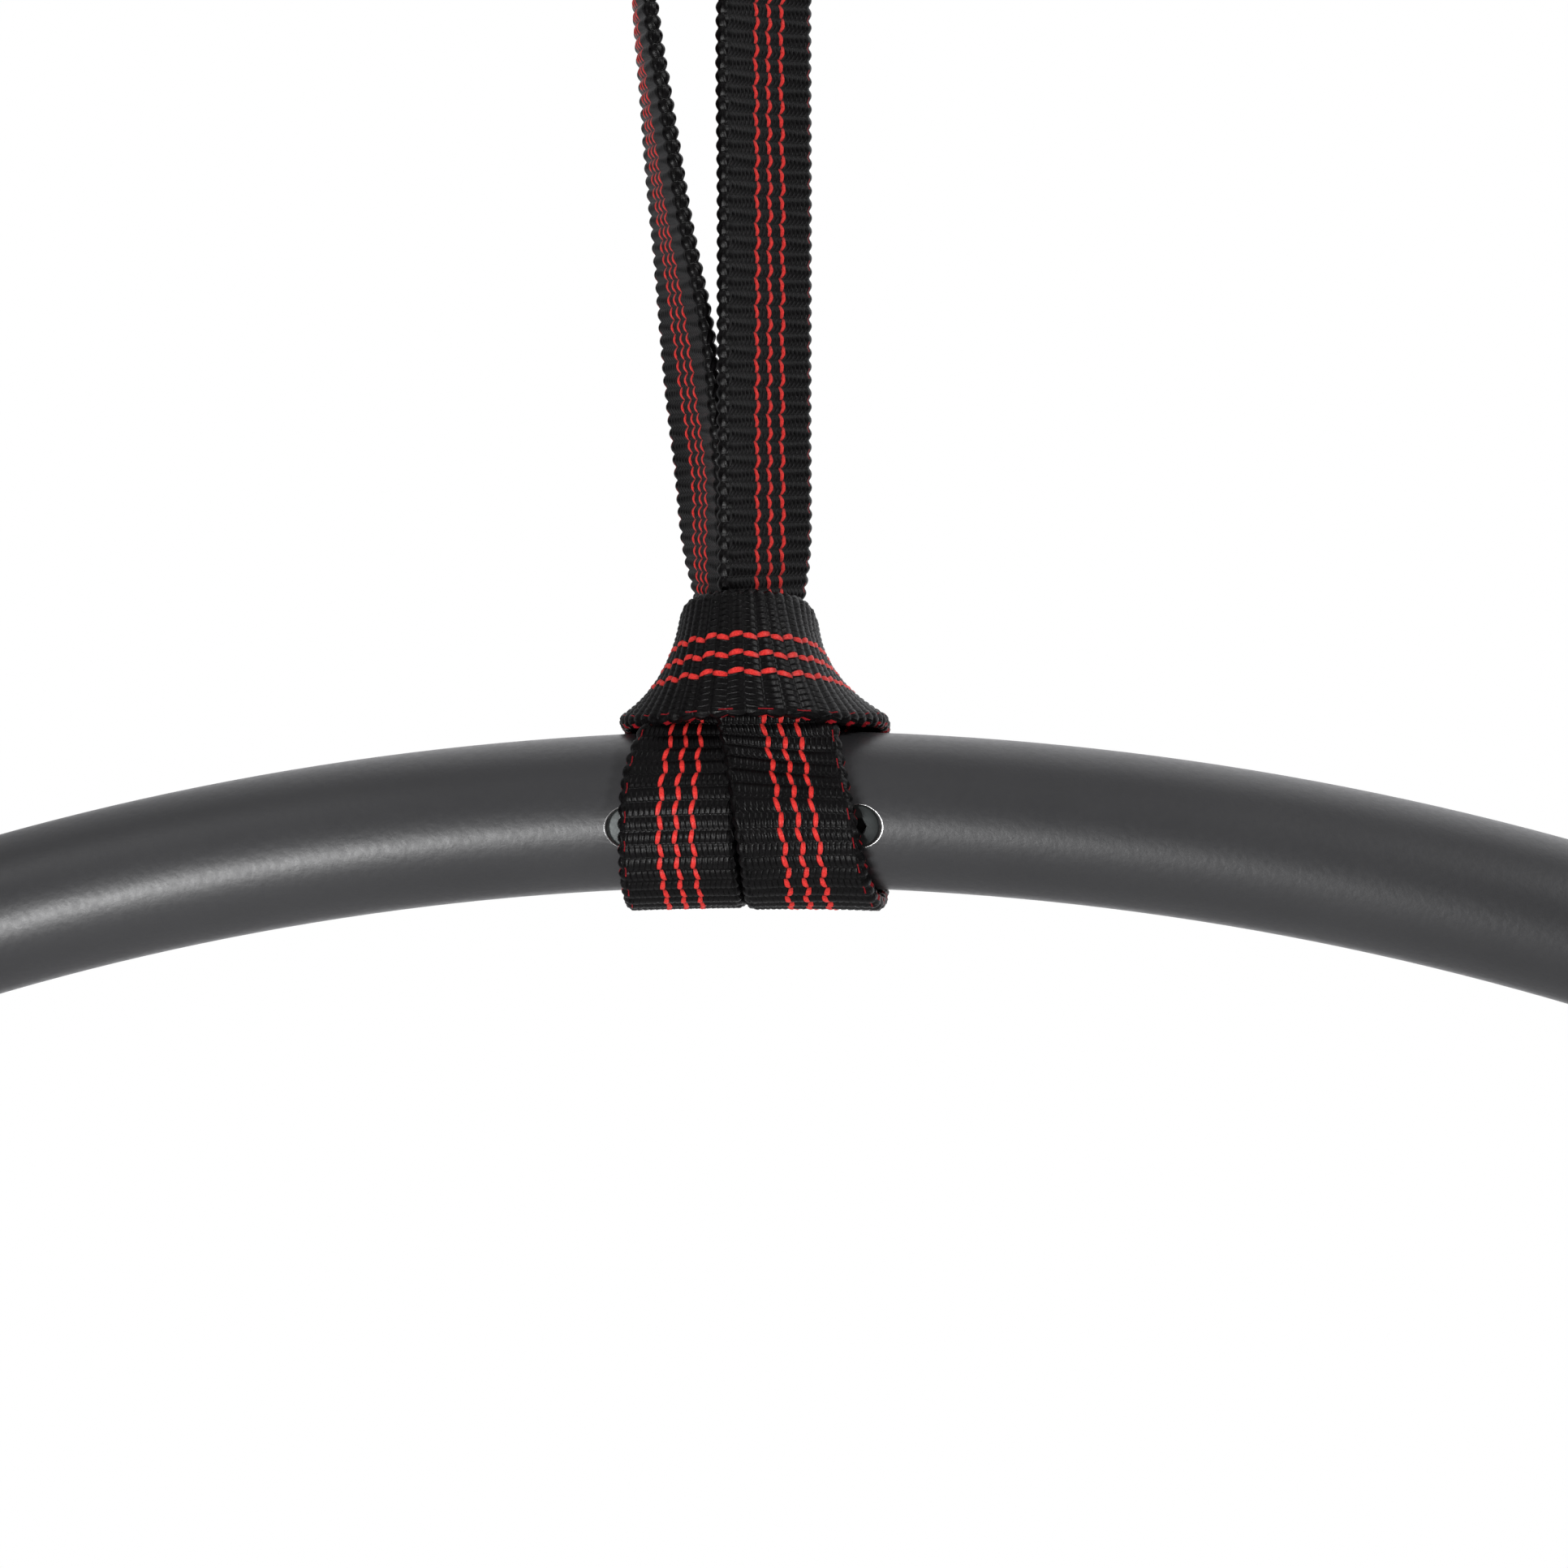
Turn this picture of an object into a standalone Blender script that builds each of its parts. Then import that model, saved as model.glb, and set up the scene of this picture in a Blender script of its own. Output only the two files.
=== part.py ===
"""Hoop swing: a two-piece tubular steel hoop hung from a webbing sling, a carabiner and a swivel.

Frame: metres, +Z up.  The origin is the centre of the swivel's upper eye, where the swing is hung.
The hoop lies in the XZ plane and the side with the sling's collar faces -Y.
"""

import math

import bmesh
import bpy
from mathutils import Matrix, Vector

GAP = 0.0003
THROUGH = 0.010
EYE_SIDES = 24
HOUSING_SIDES = 32
PIN_SIDES = 12

# Swivel
EYE_HOLE_RADIUS = 0.009
EYE_OUTER_RADIUS = 0.016
EYE_THICKNESS = 0.010
EYE_ARC_STEPS = 12
EYE_NECK_SHARE = 0.72
LOWER_EYE_TOP_SHARE = 0.85
LOWER_COLLAR_RADIUS = 0.0135
LOWER_COLLAR_OVERLAP = 0.0035
SWIVEL_PITCH = 0.062
HOUSING_RADIUS = 0.0165
HOUSING_BORE_RADIUS = 0.0132
HOUSING_TOP = -0.0145
HOUSING_ROOF = 0.0045
HOUSING_SHOULDER = 0.003
HOUSING_BOTTOM = -0.0425
NUT_CLEARANCE = 0.0008
SHAFT_RADIUS = 0.005
NUT_ACROSS_FLATS = 0.016
NUT_HEIGHT = 0.0055
RACE_OUTER_RADIUS = 0.012
RACE_THICKNESS = 0.0025
BALL_RADIUS = 0.0024
BALL_COUNT = 8
BALL_CIRCLE_RADIUS = 0.0087
CAGE_THICKNESS = 0.0018
RING_FLANGE_RADIUS = 0.0152
RING_FLANGE_HEIGHT = 0.0018

# Carabiner
ROD_RADIUS = 0.005
CARABINER_PITCH = 0.090
BASKET_RADIUS = 0.023
CORNER_RADIUS = 0.012
ROD_TO_EYE = 0.0009
GATE_RADIUS = 0.005
GATE_HINGE_DROP = 0.0250
GATE_LATCH_DROP = 0.0615
GATE_END_MARGIN = 0.0042
GATE_TOP_RISE = 0.0050
GATE_END_RADIUS = 0.0053
GATE_SIDES = 20
BODY_SIDES = 16
BODY_ARC_STEPS = 12
TANG_THICKNESS = 0.0036
TANG_RADIUS = 0.0040
TANG_RISE = 0.0090
TANG_ARC_STEPS = 8
HINGE_RELIEF_RISE = 0.0056
HINGE_RELIEF_DROP = 0.0080
HINGE_RELIEF_HALF = 0.0060
FORK_DROP = 0.0045
NOSE_THICKNESS = 0.0030
NOSE_HALF_DEPTH = 0.0036
NOSE_ROOT = 0.0030
NOSE_RISE = 0.0034
NOSE_SLOT_RISE = 0.0040
HINGE_PIN_RADIUS = 0.0013
LATCH_PIN_RADIUS = 0.0011
PIN_RECESS = 0.0006
PLUNGER_RADIUS = 0.0018
PLUNGER_LENGTH = 0.006
SPRING_WELL_DEPTH = 0.017
SPRING_WELL_MOUTH = 0.002
SPRING_RADIUS = 0.0017
SPRING_WIRE_RADIUS = 0.00032
SPRING_TURNS = 6
SPRING_STEPS = 8
SPRING_WIRE_SIDES = 5
LOCK_OUTER_RADIUS = 0.0072
LOCK_LENGTH = 0.017
LOCK_CHAMFER = 0.0008
LOCK_STANDOFF = 0.0078

# Hoop
TUBE_RADIUS = 0.0125
TUBE_WALL = 0.002
HOOP_RADIUS = 0.4625
HOOP_SEGMENTS = 45
TUBE_SIDES = 16
SLEEVE_WALL = 0.004
SLEEVE_SEGMENTS = 1
SCREW_OFFSET = 0.0181
SCREW_TILT = math.radians(-8.0)
SCREW_HEAD_RADIUS = 0.0037
SCREW_HEAD_HEIGHT = 0.0018
SCREW_SHANK_RADIUS = 0.002
SCREW_LENGTH = 0.0075
SCREW_SUNK = 0.0006
SCREW_SOCKET_RADIUS = 0.00135
SCREW_SOCKET_DEPTH = 0.0013
SCREW_SIDES = 16

# Sling
WEB_WIDTH = 0.020
WEB_THICKNESS = 0.0024
SLING_DROP = 0.200
SPLICE_LOW = 0.138
SPLICE_HIGH = 0.188
TACK_HEIGHTS = (0.145, 0.163, 0.181)
TACK_WIDTH = 0.016
TACK_LENGTH = 0.0025
TACK_THICKNESS = 0.0006
STRAP_COLUMNS = 5
LEG_STRAIGHT_TO = 0.126
LEG_YAW = 42.0
LEG_CENTRE_X = 0.0030
LEG_CENTRE_Y = -0.0006
SPLICE_LAYER = WEB_THICKNESS + 0.0007
SPLICE_STEPS = 4
ROD_WRAP_STEPS = 8
CURVE_STEPS = 2
STATION_FREE_Z = 0.015
ROD_WRAP = ROD_RADIUS + 2.0 * GAP + WEB_THICKNESS / 2.0
# Left leg between the rod and the hitch: height above the tube's centre, x, and its outward turn in degrees
LEFT_LEG = (
    (0.193, -0.0074, 90.0),
    (0.186, -0.0088, 90.0),
    (0.167, -0.0119, 88.0),
    (0.148, -0.0140, 86.0),
)

UPPER_ROD_Z = -SWIVEL_PITCH - EYE_HOLE_RADIUS + ROD_RADIUS + ROD_TO_EYE
LOWER_ROD_Z = UPPER_ROD_Z - CARABINER_PITCH
TUBE_TOP_Z = LOWER_ROD_Z - SLING_DROP
HOOP_CENTRE_Z = TUBE_TOP_Z - HOOP_RADIUS
GATE_Y = -BASKET_RADIUS
HINGE_Z = UPPER_ROD_Z - GATE_HINGE_DROP
LATCH_Z = UPPER_ROD_Z - GATE_LATCH_DROP
SPRING_WELL_TOP = HINGE_Z - FORK_DROP
SPRING_WELL_BOTTOM = SPRING_WELL_TOP - SPRING_WELL_DEPTH

# Moving groups: name, the group it hangs from, a point on its joint's axis, and its pieces
GROUPS = (
    ("swivel_top_group", None, (0.0, 0.0, 0.0),
     ("swivel_upper_eye", "swivel_housing_race", "swivel_retaining_ring")),
    ("ball_cage_group", "swivel_top_group", (0.0, 0.0, 0.0), ("swivel_ball_cage",)),
    ("swivel_bottom_group", "swivel_top_group", (0.0, 0.0, 0.0),
     ("swivel_lower_eye", "swivel_shaft_race", "swivel_shaft_nut")),
    ("carabiner_group", "swivel_bottom_group", (0.0, 0.0, UPPER_ROD_Z), ("carabiner_body", "gate_hinge_pin")),
    ("gate_group", "carabiner_group", (0.0, GATE_Y, HINGE_Z),
     ("carabiner_gate", "gate_latch_pin", "gate_plunger", "gate_spring")),
    ("lock_group", "gate_group", (0.0, GATE_Y, LATCH_Z), ("lock_sleeve",)),
    ("sling_group", "carabiner_group", (0.0, 0.0, LOWER_ROD_Z),
     ("sling_webbing", "splice_tack_lower", "splice_tack_middle", "splice_tack_upper")),
    ("hoop_group", "sling_group", (0.0, 0.0, TUBE_TOP_Z),
     ("hoop_left_half", "hoop_right_half", "joint_sleeve_top", "joint_sleeve_bottom",
      "screw_top_left", "screw_top_right", "screw_bottom_left", "screw_bottom_right")),
)


# ---------------------------------------------------------------- materials
def make_material(name, colour, roughness, metallic):
    material = bpy.data.materials.new(name)
    material.use_nodes = True
    shader = material.node_tree.nodes["Principled BSDF"]
    shader.inputs["Base Color"].default_value = (*colour, 1.0)
    shader.inputs["Roughness"].default_value = roughness
    shader.inputs["Metallic"].default_value = metallic
    material.diffuse_color = (*colour, 1.0)
    return material


def powder_coat():
    return make_material("powder_coat", (0.065, 0.065, 0.070), 0.42, 0.0)


def raw_steel():
    return make_material("raw_steel", (0.42, 0.42, 0.43), 0.38, 1.0)


def black_screw():
    return make_material("black_oxide", (0.030, 0.032, 0.034), 0.36, 0.9)


def webbing():
    return make_material("webbing", (0.020, 0.018, 0.019), 0.85, 0.0)


def red_thread():
    return make_material("red_thread", (0.58, 0.035, 0.030), 0.7, 0.0)


def polished_alloy():
    return make_material("polished_alloy", (0.55, 0.56, 0.58), 0.28, 1.0)


def dark_anodised():
    return make_material("dark_anodised", (0.050, 0.052, 0.056), 0.35, 0.8)


# ------------------------------------------------------------------ helpers
def clear_scene():
    for old in list(bpy.data.objects):
        bpy.data.objects.remove(old, do_unlink=True)


def add_object(name, shape, material=None):
    """Turn a finished bmesh into a linked object with outward normals and smooth round sides."""
    bmesh.ops.remove_doubles(shape, verts=shape.verts, dist=1e-7)
    bmesh.ops.recalc_face_normals(shape, faces=shape.faces)
    mesh = bpy.data.meshes.new(name)
    shape.to_mesh(mesh)
    shape.free()
    item = bpy.data.objects.new(name, mesh)
    bpy.context.scene.collection.objects.link(item)
    if material is not None:
        mesh.materials.append(material)
    mesh.shade_smooth()
    mesh.set_sharp_from_angle(angle=math.radians(40.0))
    return item


def add_boolean(item, tool, operation):
    """Cut or join with a helper object that is itself left out of the build."""
    tool.hide_render = True
    tool.display_type = "WIRE"
    step = item.modifiers.new(tool.name, "BOOLEAN")
    step.object = tool
    step.operation = operation
    step.solver = "EXACT"


def bridge(shape, rings, closed):
    """Skin a list of equal rings of vertices; an open run is capped at both ends."""
    count = len(rings[0])
    pairs = list(zip(rings, rings[1:]))
    if closed:
        pairs.append((rings[-1], rings[0]))
    for low, high in pairs:
        for i in range(count):
            j = (i + 1) % count
            shape.faces.new((low[i], low[j], high[j], high[i]))
    if not closed:
        shape.faces.new(rings[0])
        shape.faces.new(list(reversed(rings[-1])))


def skin(points, closed=False):
    shape = bmesh.new()
    rings = [[shape.verts.new(point) for point in ring] for ring in points]
    bridge(shape, rings, closed)
    return shape


def turned(profile, sides, centre=Vector((0.0, 0.0, 0.0))):
    """Revolve a closed (radius, height) outline about a vertical line through centre."""
    shape = bmesh.new()
    corners = [shape.verts.new(centre + Vector((radius, 0.0, height))) for radius, height in profile]
    edges = [shape.edges.new((corners[i - 1], corners[i])) for i in range(len(corners))]
    bmesh.ops.spin(shape, geom=corners + edges, cent=centre, axis=(0.0, 0.0, 1.0),
                   angle=math.tau, steps=sides, use_merge=True)
    return shape


def rod_between(start, end, radius, sides):
    """A plain round rod from start to end."""
    start = Vector(start)
    end = Vector(end)
    turn = Vector((0.0, 0.0, 1.0)).rotation_difference(end - start).to_matrix()
    circle = [turn @ Vector((radius * math.cos(a), radius * math.sin(a), 0.0))
              for a in (math.tau * i / sides for i in range(sides))]
    return skin([[start + p for p in circle], [end + p for p in circle]])


def block(low, high):
    shape = bmesh.new()
    bmesh.ops.create_cube(shape, size=1.0)
    low = Vector(low)
    high = Vector(high)
    bmesh.ops.scale(shape, vec=high - low, verts=shape.verts)
    bmesh.ops.translate(shape, vec=(low + high) / 2.0, verts=shape.verts)
    return shape


def smooth_curve(points, steps):
    """Catmull-Rom curve through the points, with the same number of steps in each span."""
    ends = [points[0] * 2.0 - points[1]] + points + [points[-1] * 2.0 - points[-2]]
    curve = []
    for a, b, c, d in zip(ends, ends[1:], ends[2:], ends[3:]):
        for i in range(steps):
            t = i / steps
            curve.append(0.5 * (2.0 * b + (c - a) * t + (2.0 * a - 5.0 * b + 4.0 * c - d) * t * t
                                + (3.0 * b - a - 3.0 * c + d) * t * t * t))
    curve.append(points[-1])
    return curve


# ------------------------------------------------------------------- swivel
def eye_plate(name, centre_z, neck_z):
    """Round eye with straight sides running from its centre to the neck."""
    side = 1.0 if neck_z > centre_z else -1.0
    outline = [Vector((EYE_OUTER_RADIUS * math.cos(a), 0.0, centre_z - side * EYE_OUTER_RADIUS * math.sin(a)))
               for a in (math.pi * i / EYE_ARC_STEPS for i in range(EYE_ARC_STEPS + 1))]
    neck_half = EYE_OUTER_RADIUS * EYE_NECK_SHARE
    outline += [Vector((-neck_half, 0.0, neck_z)), Vector((neck_half, 0.0, neck_z))]
    half = EYE_THICKNESS / 2.0
    plate = skin([[p + Vector((0.0, y, 0.0)) for p in outline] for y in (-half, half)])
    item = add_object(name, plate)
    hole = rod_between((0.0, -EYE_THICKNESS, centre_z), (0.0, EYE_THICKNESS, centre_z), EYE_HOLE_RADIUS,
                       EYE_SIDES)
    add_boolean(item, add_object(name + "_hole", hole), "DIFFERENCE")
    return item


def swivel_upper_eye():
    item = eye_plate("swivel_upper_eye", 0.0, HOUSING_TOP - HOUSING_ROOF / 2.0)
    item.data.materials.append(polished_alloy())
    roof = HOUSING_TOP - HOUSING_ROOF
    cup = turned([(0.0, HOUSING_TOP), (HOUSING_RADIUS - HOUSING_SHOULDER, HOUSING_TOP),
                  (HOUSING_RADIUS, HOUSING_TOP - HOUSING_SHOULDER), (HOUSING_RADIUS, HOUSING_BOTTOM),
                  (HOUSING_BORE_RADIUS, HOUSING_BOTTOM), (HOUSING_BORE_RADIUS, roof), (0.0, roof)],
                 HOUSING_SIDES)
    add_boolean(item, add_object("housing_cup", cup), "UNION")
    return item


def bearing_levels():
    """Heights of the parts stacked in the housing, from the shaft nut down to the ring."""
    nut_top = HOUSING_TOP - HOUSING_ROOF - NUT_CLEARANCE
    shaft_race_top = nut_top - NUT_HEIGHT - GAP
    ball_centre = shaft_race_top - RACE_THICKNESS - GAP / 2.0 - BALL_RADIUS
    housing_race_top = ball_centre - BALL_RADIUS - GAP / 2.0
    ring_top = housing_race_top - RACE_THICKNESS - GAP
    return nut_top, shaft_race_top, ball_centre, housing_race_top, ring_top


def swivel_bearing():
    _, shaft_race_top, ball_centre, housing_race_top, _ = bearing_levels()
    inner = SHAFT_RADIUS + GAP
    shaft_race = turned([(inner, shaft_race_top), (RACE_OUTER_RADIUS, shaft_race_top),
                         (RACE_OUTER_RADIUS, shaft_race_top - RACE_THICKNESS),
                         (inner, shaft_race_top - RACE_THICKNESS)], EYE_SIDES)
    add_object("swivel_shaft_race", shaft_race, raw_steel())
    loose = SHAFT_RADIUS + 3.0 * GAP
    housing_race = turned([(loose, housing_race_top), (HOUSING_BORE_RADIUS - GAP, housing_race_top),
                           (HOUSING_BORE_RADIUS - GAP, housing_race_top - RACE_THICKNESS),
                           (loose, housing_race_top - RACE_THICKNESS)], EYE_SIDES)
    add_object("swivel_housing_race", housing_race, raw_steel())
    half = CAGE_THICKNESS / 2.0
    ring = turned([(BALL_CIRCLE_RADIUS - BALL_RADIUS, ball_centre + half),
                   (BALL_CIRCLE_RADIUS + BALL_RADIUS, ball_centre + half),
                   (BALL_CIRCLE_RADIUS + BALL_RADIUS, ball_centre - half),
                   (BALL_CIRCLE_RADIUS - BALL_RADIUS, ball_centre - half)], HOUSING_SIDES)
    cage = add_object("swivel_ball_cage", ring, raw_steel())
    for i in range(BALL_COUNT):
        angle = math.tau * i / BALL_COUNT
        ball = bmesh.new()
        bmesh.ops.create_uvsphere(ball, u_segments=10, v_segments=6, radius=BALL_RADIUS)
        x = BALL_CIRCLE_RADIUS * math.cos(angle)
        y = BALL_CIRCLE_RADIUS * math.sin(angle)
        bmesh.ops.translate(ball, vec=(x, y, ball_centre), verts=ball.verts)
        add_boolean(cage, add_object("ball_%d" % i, ball), "UNION")


def swivel_retaining_ring():
    ring_top = bearing_levels()[4]
    bore = SHAFT_RADIUS + 3.0 * GAP
    flange_top = HOUSING_BOTTOM - GAP
    flange_bottom = flange_top - RING_FLANGE_HEIGHT
    ring = turned([(bore, ring_top), (HOUSING_BORE_RADIUS - GAP, ring_top),
                   (HOUSING_BORE_RADIUS - GAP, flange_top), (RING_FLANGE_RADIUS, flange_top),
                   (RING_FLANGE_RADIUS, flange_bottom), (bore, flange_bottom)], HOUSING_SIDES)
    add_object("swivel_retaining_ring", ring, dark_anodised())


def swivel_lower_eye():
    nut_top = bearing_levels()[0]
    shoulder_top = HOUSING_BOTTOM - 2.0 * GAP - RING_FLANGE_HEIGHT
    eye_top = -SWIVEL_PITCH + EYE_OUTER_RADIUS * LOWER_EYE_TOP_SHARE
    item = eye_plate("swivel_lower_eye", -SWIVEL_PITCH, eye_top)
    item.data.materials.append(polished_alloy())
    collar_bottom = eye_top - LOWER_COLLAR_OVERLAP
    stem = turned([(0.0, nut_top), (SHAFT_RADIUS, nut_top), (SHAFT_RADIUS, shoulder_top),
                   (LOWER_COLLAR_RADIUS, shoulder_top), (LOWER_COLLAR_RADIUS, collar_bottom),
                   (0.0, collar_bottom)], EYE_SIDES)
    add_boolean(item, add_object("lower_stem", stem), "UNION")
    return item


def swivel_shaft_nut():
    nut_top = bearing_levels()[0]
    corner = NUT_ACROSS_FLATS / math.sqrt(3.0)
    hexagon = [Vector((corner * math.cos(a), corner * math.sin(a), 0.0))
               for a in (math.tau * i / 6 for i in range(6))]
    nut = skin([[p + Vector((0.0, 0.0, z)) for p in hexagon] for z in (nut_top - NUT_HEIGHT, nut_top)])
    item = add_object("swivel_shaft_nut", nut, raw_steel())
    hole = rod_between((0.0, 0.0, nut_top - 2.0 * NUT_HEIGHT), (0.0, 0.0, nut_top + NUT_HEIGHT),
                       SHAFT_RADIUS + GAP, EYE_SIDES)
    add_boolean(item, add_object("nut_hole", hole), "DIFFERENCE")


# ---------------------------------------------------------------- carabiner
def carabiner_path():
    """Centre line of the bent rod, from the gate hinge over the top, down the spine and up to the nose."""
    top_z = UPPER_ROD_Z - BASKET_RADIUS
    low_z = LOWER_ROD_Z + CORNER_RADIUS
    corner_y = BASKET_RADIUS - CORNER_RADIUS
    path = []
    for i in range(BODY_ARC_STEPS + 1):
        angle = math.pi - math.pi * i / BODY_ARC_STEPS
        path.append(Vector((0.0, BASKET_RADIUS * math.cos(angle), top_z + BASKET_RADIUS * math.sin(angle))))
    corner_steps = BODY_ARC_STEPS // 2
    for side, begin in ((1.0, 0.0), (-1.0, -math.pi / 2.0)):
        for i in range(corner_steps + 1):
            angle = begin - math.pi / 2.0 * i / corner_steps
            path.append(Vector((0.0, side * corner_y + CORNER_RADIUS * math.cos(angle),
                                low_z + CORNER_RADIUS * math.sin(angle))))
    return path


def swept_rod(path, radius, sides):
    rings = []
    for i, point in enumerate(path):
        before = path[max(i - 1, 0)]
        after = path[min(i + 1, len(path) - 1)]
        along = (after - before).normalized()
        across = Vector((1.0, 0.0, 0.0))
        outward = along.cross(across)
        rings.append([point + (across * math.cos(a) + outward * math.sin(a)) * radius
                      for a in (math.tau * k / sides for k in range(sides))])
    return skin(rings)


def hinge_tang():
    """Flat tongue of the body, rounded below, that stands in the gate's fork."""
    half = TANG_THICKNESS / 2.0
    outline = [Vector((0.0, GATE_Y + TANG_RADIUS * math.cos(a), HINGE_Z + TANG_RADIUS * math.sin(a)))
               for a in (-math.pi + math.pi * i / TANG_ARC_STEPS for i in range(TANG_ARC_STEPS + 1))]
    top = HINGE_Z + TANG_RISE
    outline += [Vector((0.0, GATE_Y + TANG_RADIUS, top)), Vector((0.0, GATE_Y - TANG_RADIUS, top))]
    return skin([[p + Vector((x, 0.0, 0.0)) for p in outline] for x in (-half, half)])


def cross_hole(z, radius):
    """Cutter for a pin hole that passes through the body or the gate along X."""
    return rod_between((-THROUGH, GATE_Y, z), (THROUGH, GATE_Y, z), radius + GAP, PIN_SIDES)


def carabiner_body():
    path = carabiner_path()
    nose_shoulder = Vector((0.0, GATE_Y, LATCH_Z - GATE_END_MARGIN - GAP))
    item = add_object("carabiner_body", swept_rod(path + [nose_shoulder], ROD_RADIUS, BODY_SIDES),
                      polished_alloy())
    relief = block((-HINGE_RELIEF_HALF, GATE_Y - HINGE_RELIEF_HALF, HINGE_Z - HINGE_RELIEF_DROP),
                   (HINGE_RELIEF_HALF, GATE_Y + HINGE_RELIEF_HALF, HINGE_Z + HINGE_RELIEF_RISE))
    add_boolean(item, add_object("hinge_relief", relief), "DIFFERENCE")
    add_boolean(item, add_object("hinge_tang", hinge_tang()), "UNION")
    add_boolean(item, add_object("hinge_pin_hole", cross_hole(HINGE_Z, HINGE_PIN_RADIUS)), "DIFFERENCE")
    nose_half = NOSE_THICKNESS / 2.0
    nose = block((-nose_half, GATE_Y - NOSE_HALF_DEPTH, nose_shoulder.z - NOSE_ROOT),
                 (nose_half, GATE_Y + NOSE_HALF_DEPTH, LATCH_Z + NOSE_RISE))
    add_boolean(item, add_object("nose_plate", nose), "UNION")
    reach = LATCH_PIN_RADIUS + GAP
    notch = block((-THROUGH, GATE_Y - reach, LATCH_Z - reach), (THROUGH, GATE_Y + THROUGH, LATCH_Z + reach))
    add_boolean(item, add_object("nose_notch", notch), "DIFFERENCE")


def gate_end_round():
    """Cutter that rounds the gate's hinge end, so that it clears the body as it opens."""
    outline = [Vector((0.0, GATE_Y + GATE_END_RADIUS * math.cos(a), HINGE_Z + GATE_END_RADIUS * math.sin(a)))
               for a in (math.pi * i / TANG_ARC_STEPS for i in range(TANG_ARC_STEPS + 1))]
    outline += [Vector((0.0, GATE_Y - THROUGH, HINGE_Z)), Vector((0.0, GATE_Y - THROUGH, HINGE_Z + THROUGH)),
                Vector((0.0, GATE_Y + THROUGH, HINGE_Z + THROUGH)), Vector((0.0, GATE_Y + THROUGH, HINGE_Z))]
    return skin([[p + Vector((x, 0.0, 0.0)) for p in outline] for x in (-THROUGH, THROUGH)])


def carabiner_gate():
    top = HINGE_Z + GATE_TOP_RISE
    bottom = LATCH_Z - GATE_END_MARGIN
    bar = rod_between((0.0, GATE_Y, bottom), (0.0, GATE_Y, top), GATE_RADIUS, GATE_SIDES)
    gate = add_object("carabiner_gate", bar, dark_anodised())
    fork_half = TANG_THICKNESS / 2.0 + GAP
    fork = block((-fork_half, GATE_Y - THROUGH, SPRING_WELL_TOP),
                 (fork_half, GATE_Y + THROUGH, top + THROUGH))
    nose_half = NOSE_THICKNESS / 2.0 + GAP
    slot = block((-nose_half, GATE_Y - THROUGH, bottom - THROUGH),
                 (nose_half, GATE_Y + THROUGH, LATCH_Z + NOSE_SLOT_RISE))
    well = rod_between((0.0, GATE_Y, SPRING_WELL_BOTTOM), (0.0, GATE_Y, SPRING_WELL_TOP + SPRING_WELL_MOUTH),
                       PLUNGER_RADIUS + GAP, PIN_SIDES)
    cutters = (("gate_end_round", gate_end_round()), ("gate_fork_slot", fork), ("gate_nose_slot", slot),
               ("gate_hinge_hole", cross_hole(HINGE_Z, HINGE_PIN_RADIUS)),
               ("gate_latch_hole", cross_hole(LATCH_Z, LATCH_PIN_RADIUS)), ("gate_spring_well", well))
    for name, cutter in cutters:
        add_boolean(gate, add_object(name, cutter), "DIFFERENCE")


def gate_fittings():
    half = GATE_RADIUS - PIN_RECESS
    hinge = rod_between((-half, GATE_Y, HINGE_Z), (half, GATE_Y, HINGE_Z), HINGE_PIN_RADIUS, PIN_SIDES)
    add_object("gate_hinge_pin", hinge, raw_steel())
    latch = rod_between((-half, GATE_Y, LATCH_Z), (half, GATE_Y, LATCH_Z), LATCH_PIN_RADIUS, PIN_SIDES)
    add_object("gate_latch_pin", latch, raw_steel())
    plunger_bottom = SPRING_WELL_TOP - PLUNGER_LENGTH
    plunger = rod_between((0.0, GATE_Y, plunger_bottom), (0.0, GATE_Y, SPRING_WELL_TOP - GAP / 2.0),
                          PLUNGER_RADIUS, PIN_SIDES)
    add_object("gate_plunger", plunger, raw_steel())
    gate_spring(SPRING_WELL_BOTTOM + GAP, plunger_bottom - GAP)


def gate_spring(low, high):
    mean = SPRING_RADIUS - SPRING_WIRE_RADIUS
    start = low + SPRING_WIRE_RADIUS
    rise = high - low - 2.0 * SPRING_WIRE_RADIUS
    count = SPRING_TURNS * SPRING_STEPS
    up = Vector((0.0, 0.0, 1.0))
    rings = []
    for i in range(count + 1):
        turn = math.tau * i / SPRING_STEPS
        outward = Vector((math.cos(turn), math.sin(turn), 0.0))
        point = Vector((0.0, GATE_Y, start + rise * i / count)) + outward * mean
        rings.append([point + (outward * math.cos(a) + up * math.sin(a)) * SPRING_WIRE_RADIUS
                      for a in (math.tau * k / SPRING_WIRE_SIDES for k in range(SPRING_WIRE_SIDES))])
    add_object("gate_spring", skin(rings), raw_steel())


def lock_sleeve():
    """Threaded sleeve, drawn unscrewed: it travels down the gate to cover the nose."""
    low = LATCH_Z + LOCK_STANDOFF
    high = low + LOCK_LENGTH
    bore = GATE_RADIUS + GAP
    face = LOCK_OUTER_RADIUS - LOCK_CHAMFER
    sleeve = turned([(bore, low), (face, low), (LOCK_OUTER_RADIUS, low + LOCK_CHAMFER),
                     (LOCK_OUTER_RADIUS, high - LOCK_CHAMFER), (face, high), (bore, high)],
                    EYE_SIDES, Vector((0.0, GATE_Y, 0.0)))
    add_object("lock_sleeve", sleeve, dark_anodised())


# --------------------------------------------------------------------- hoop
def hoop_point(angle, radial, side_y):
    """A point on the ring; angle is measured from the top of the hoop, towards +X."""
    return Vector((math.sin(angle) * radial, side_y, HOOP_CENTRE_Z + math.cos(angle) * radial))


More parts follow.
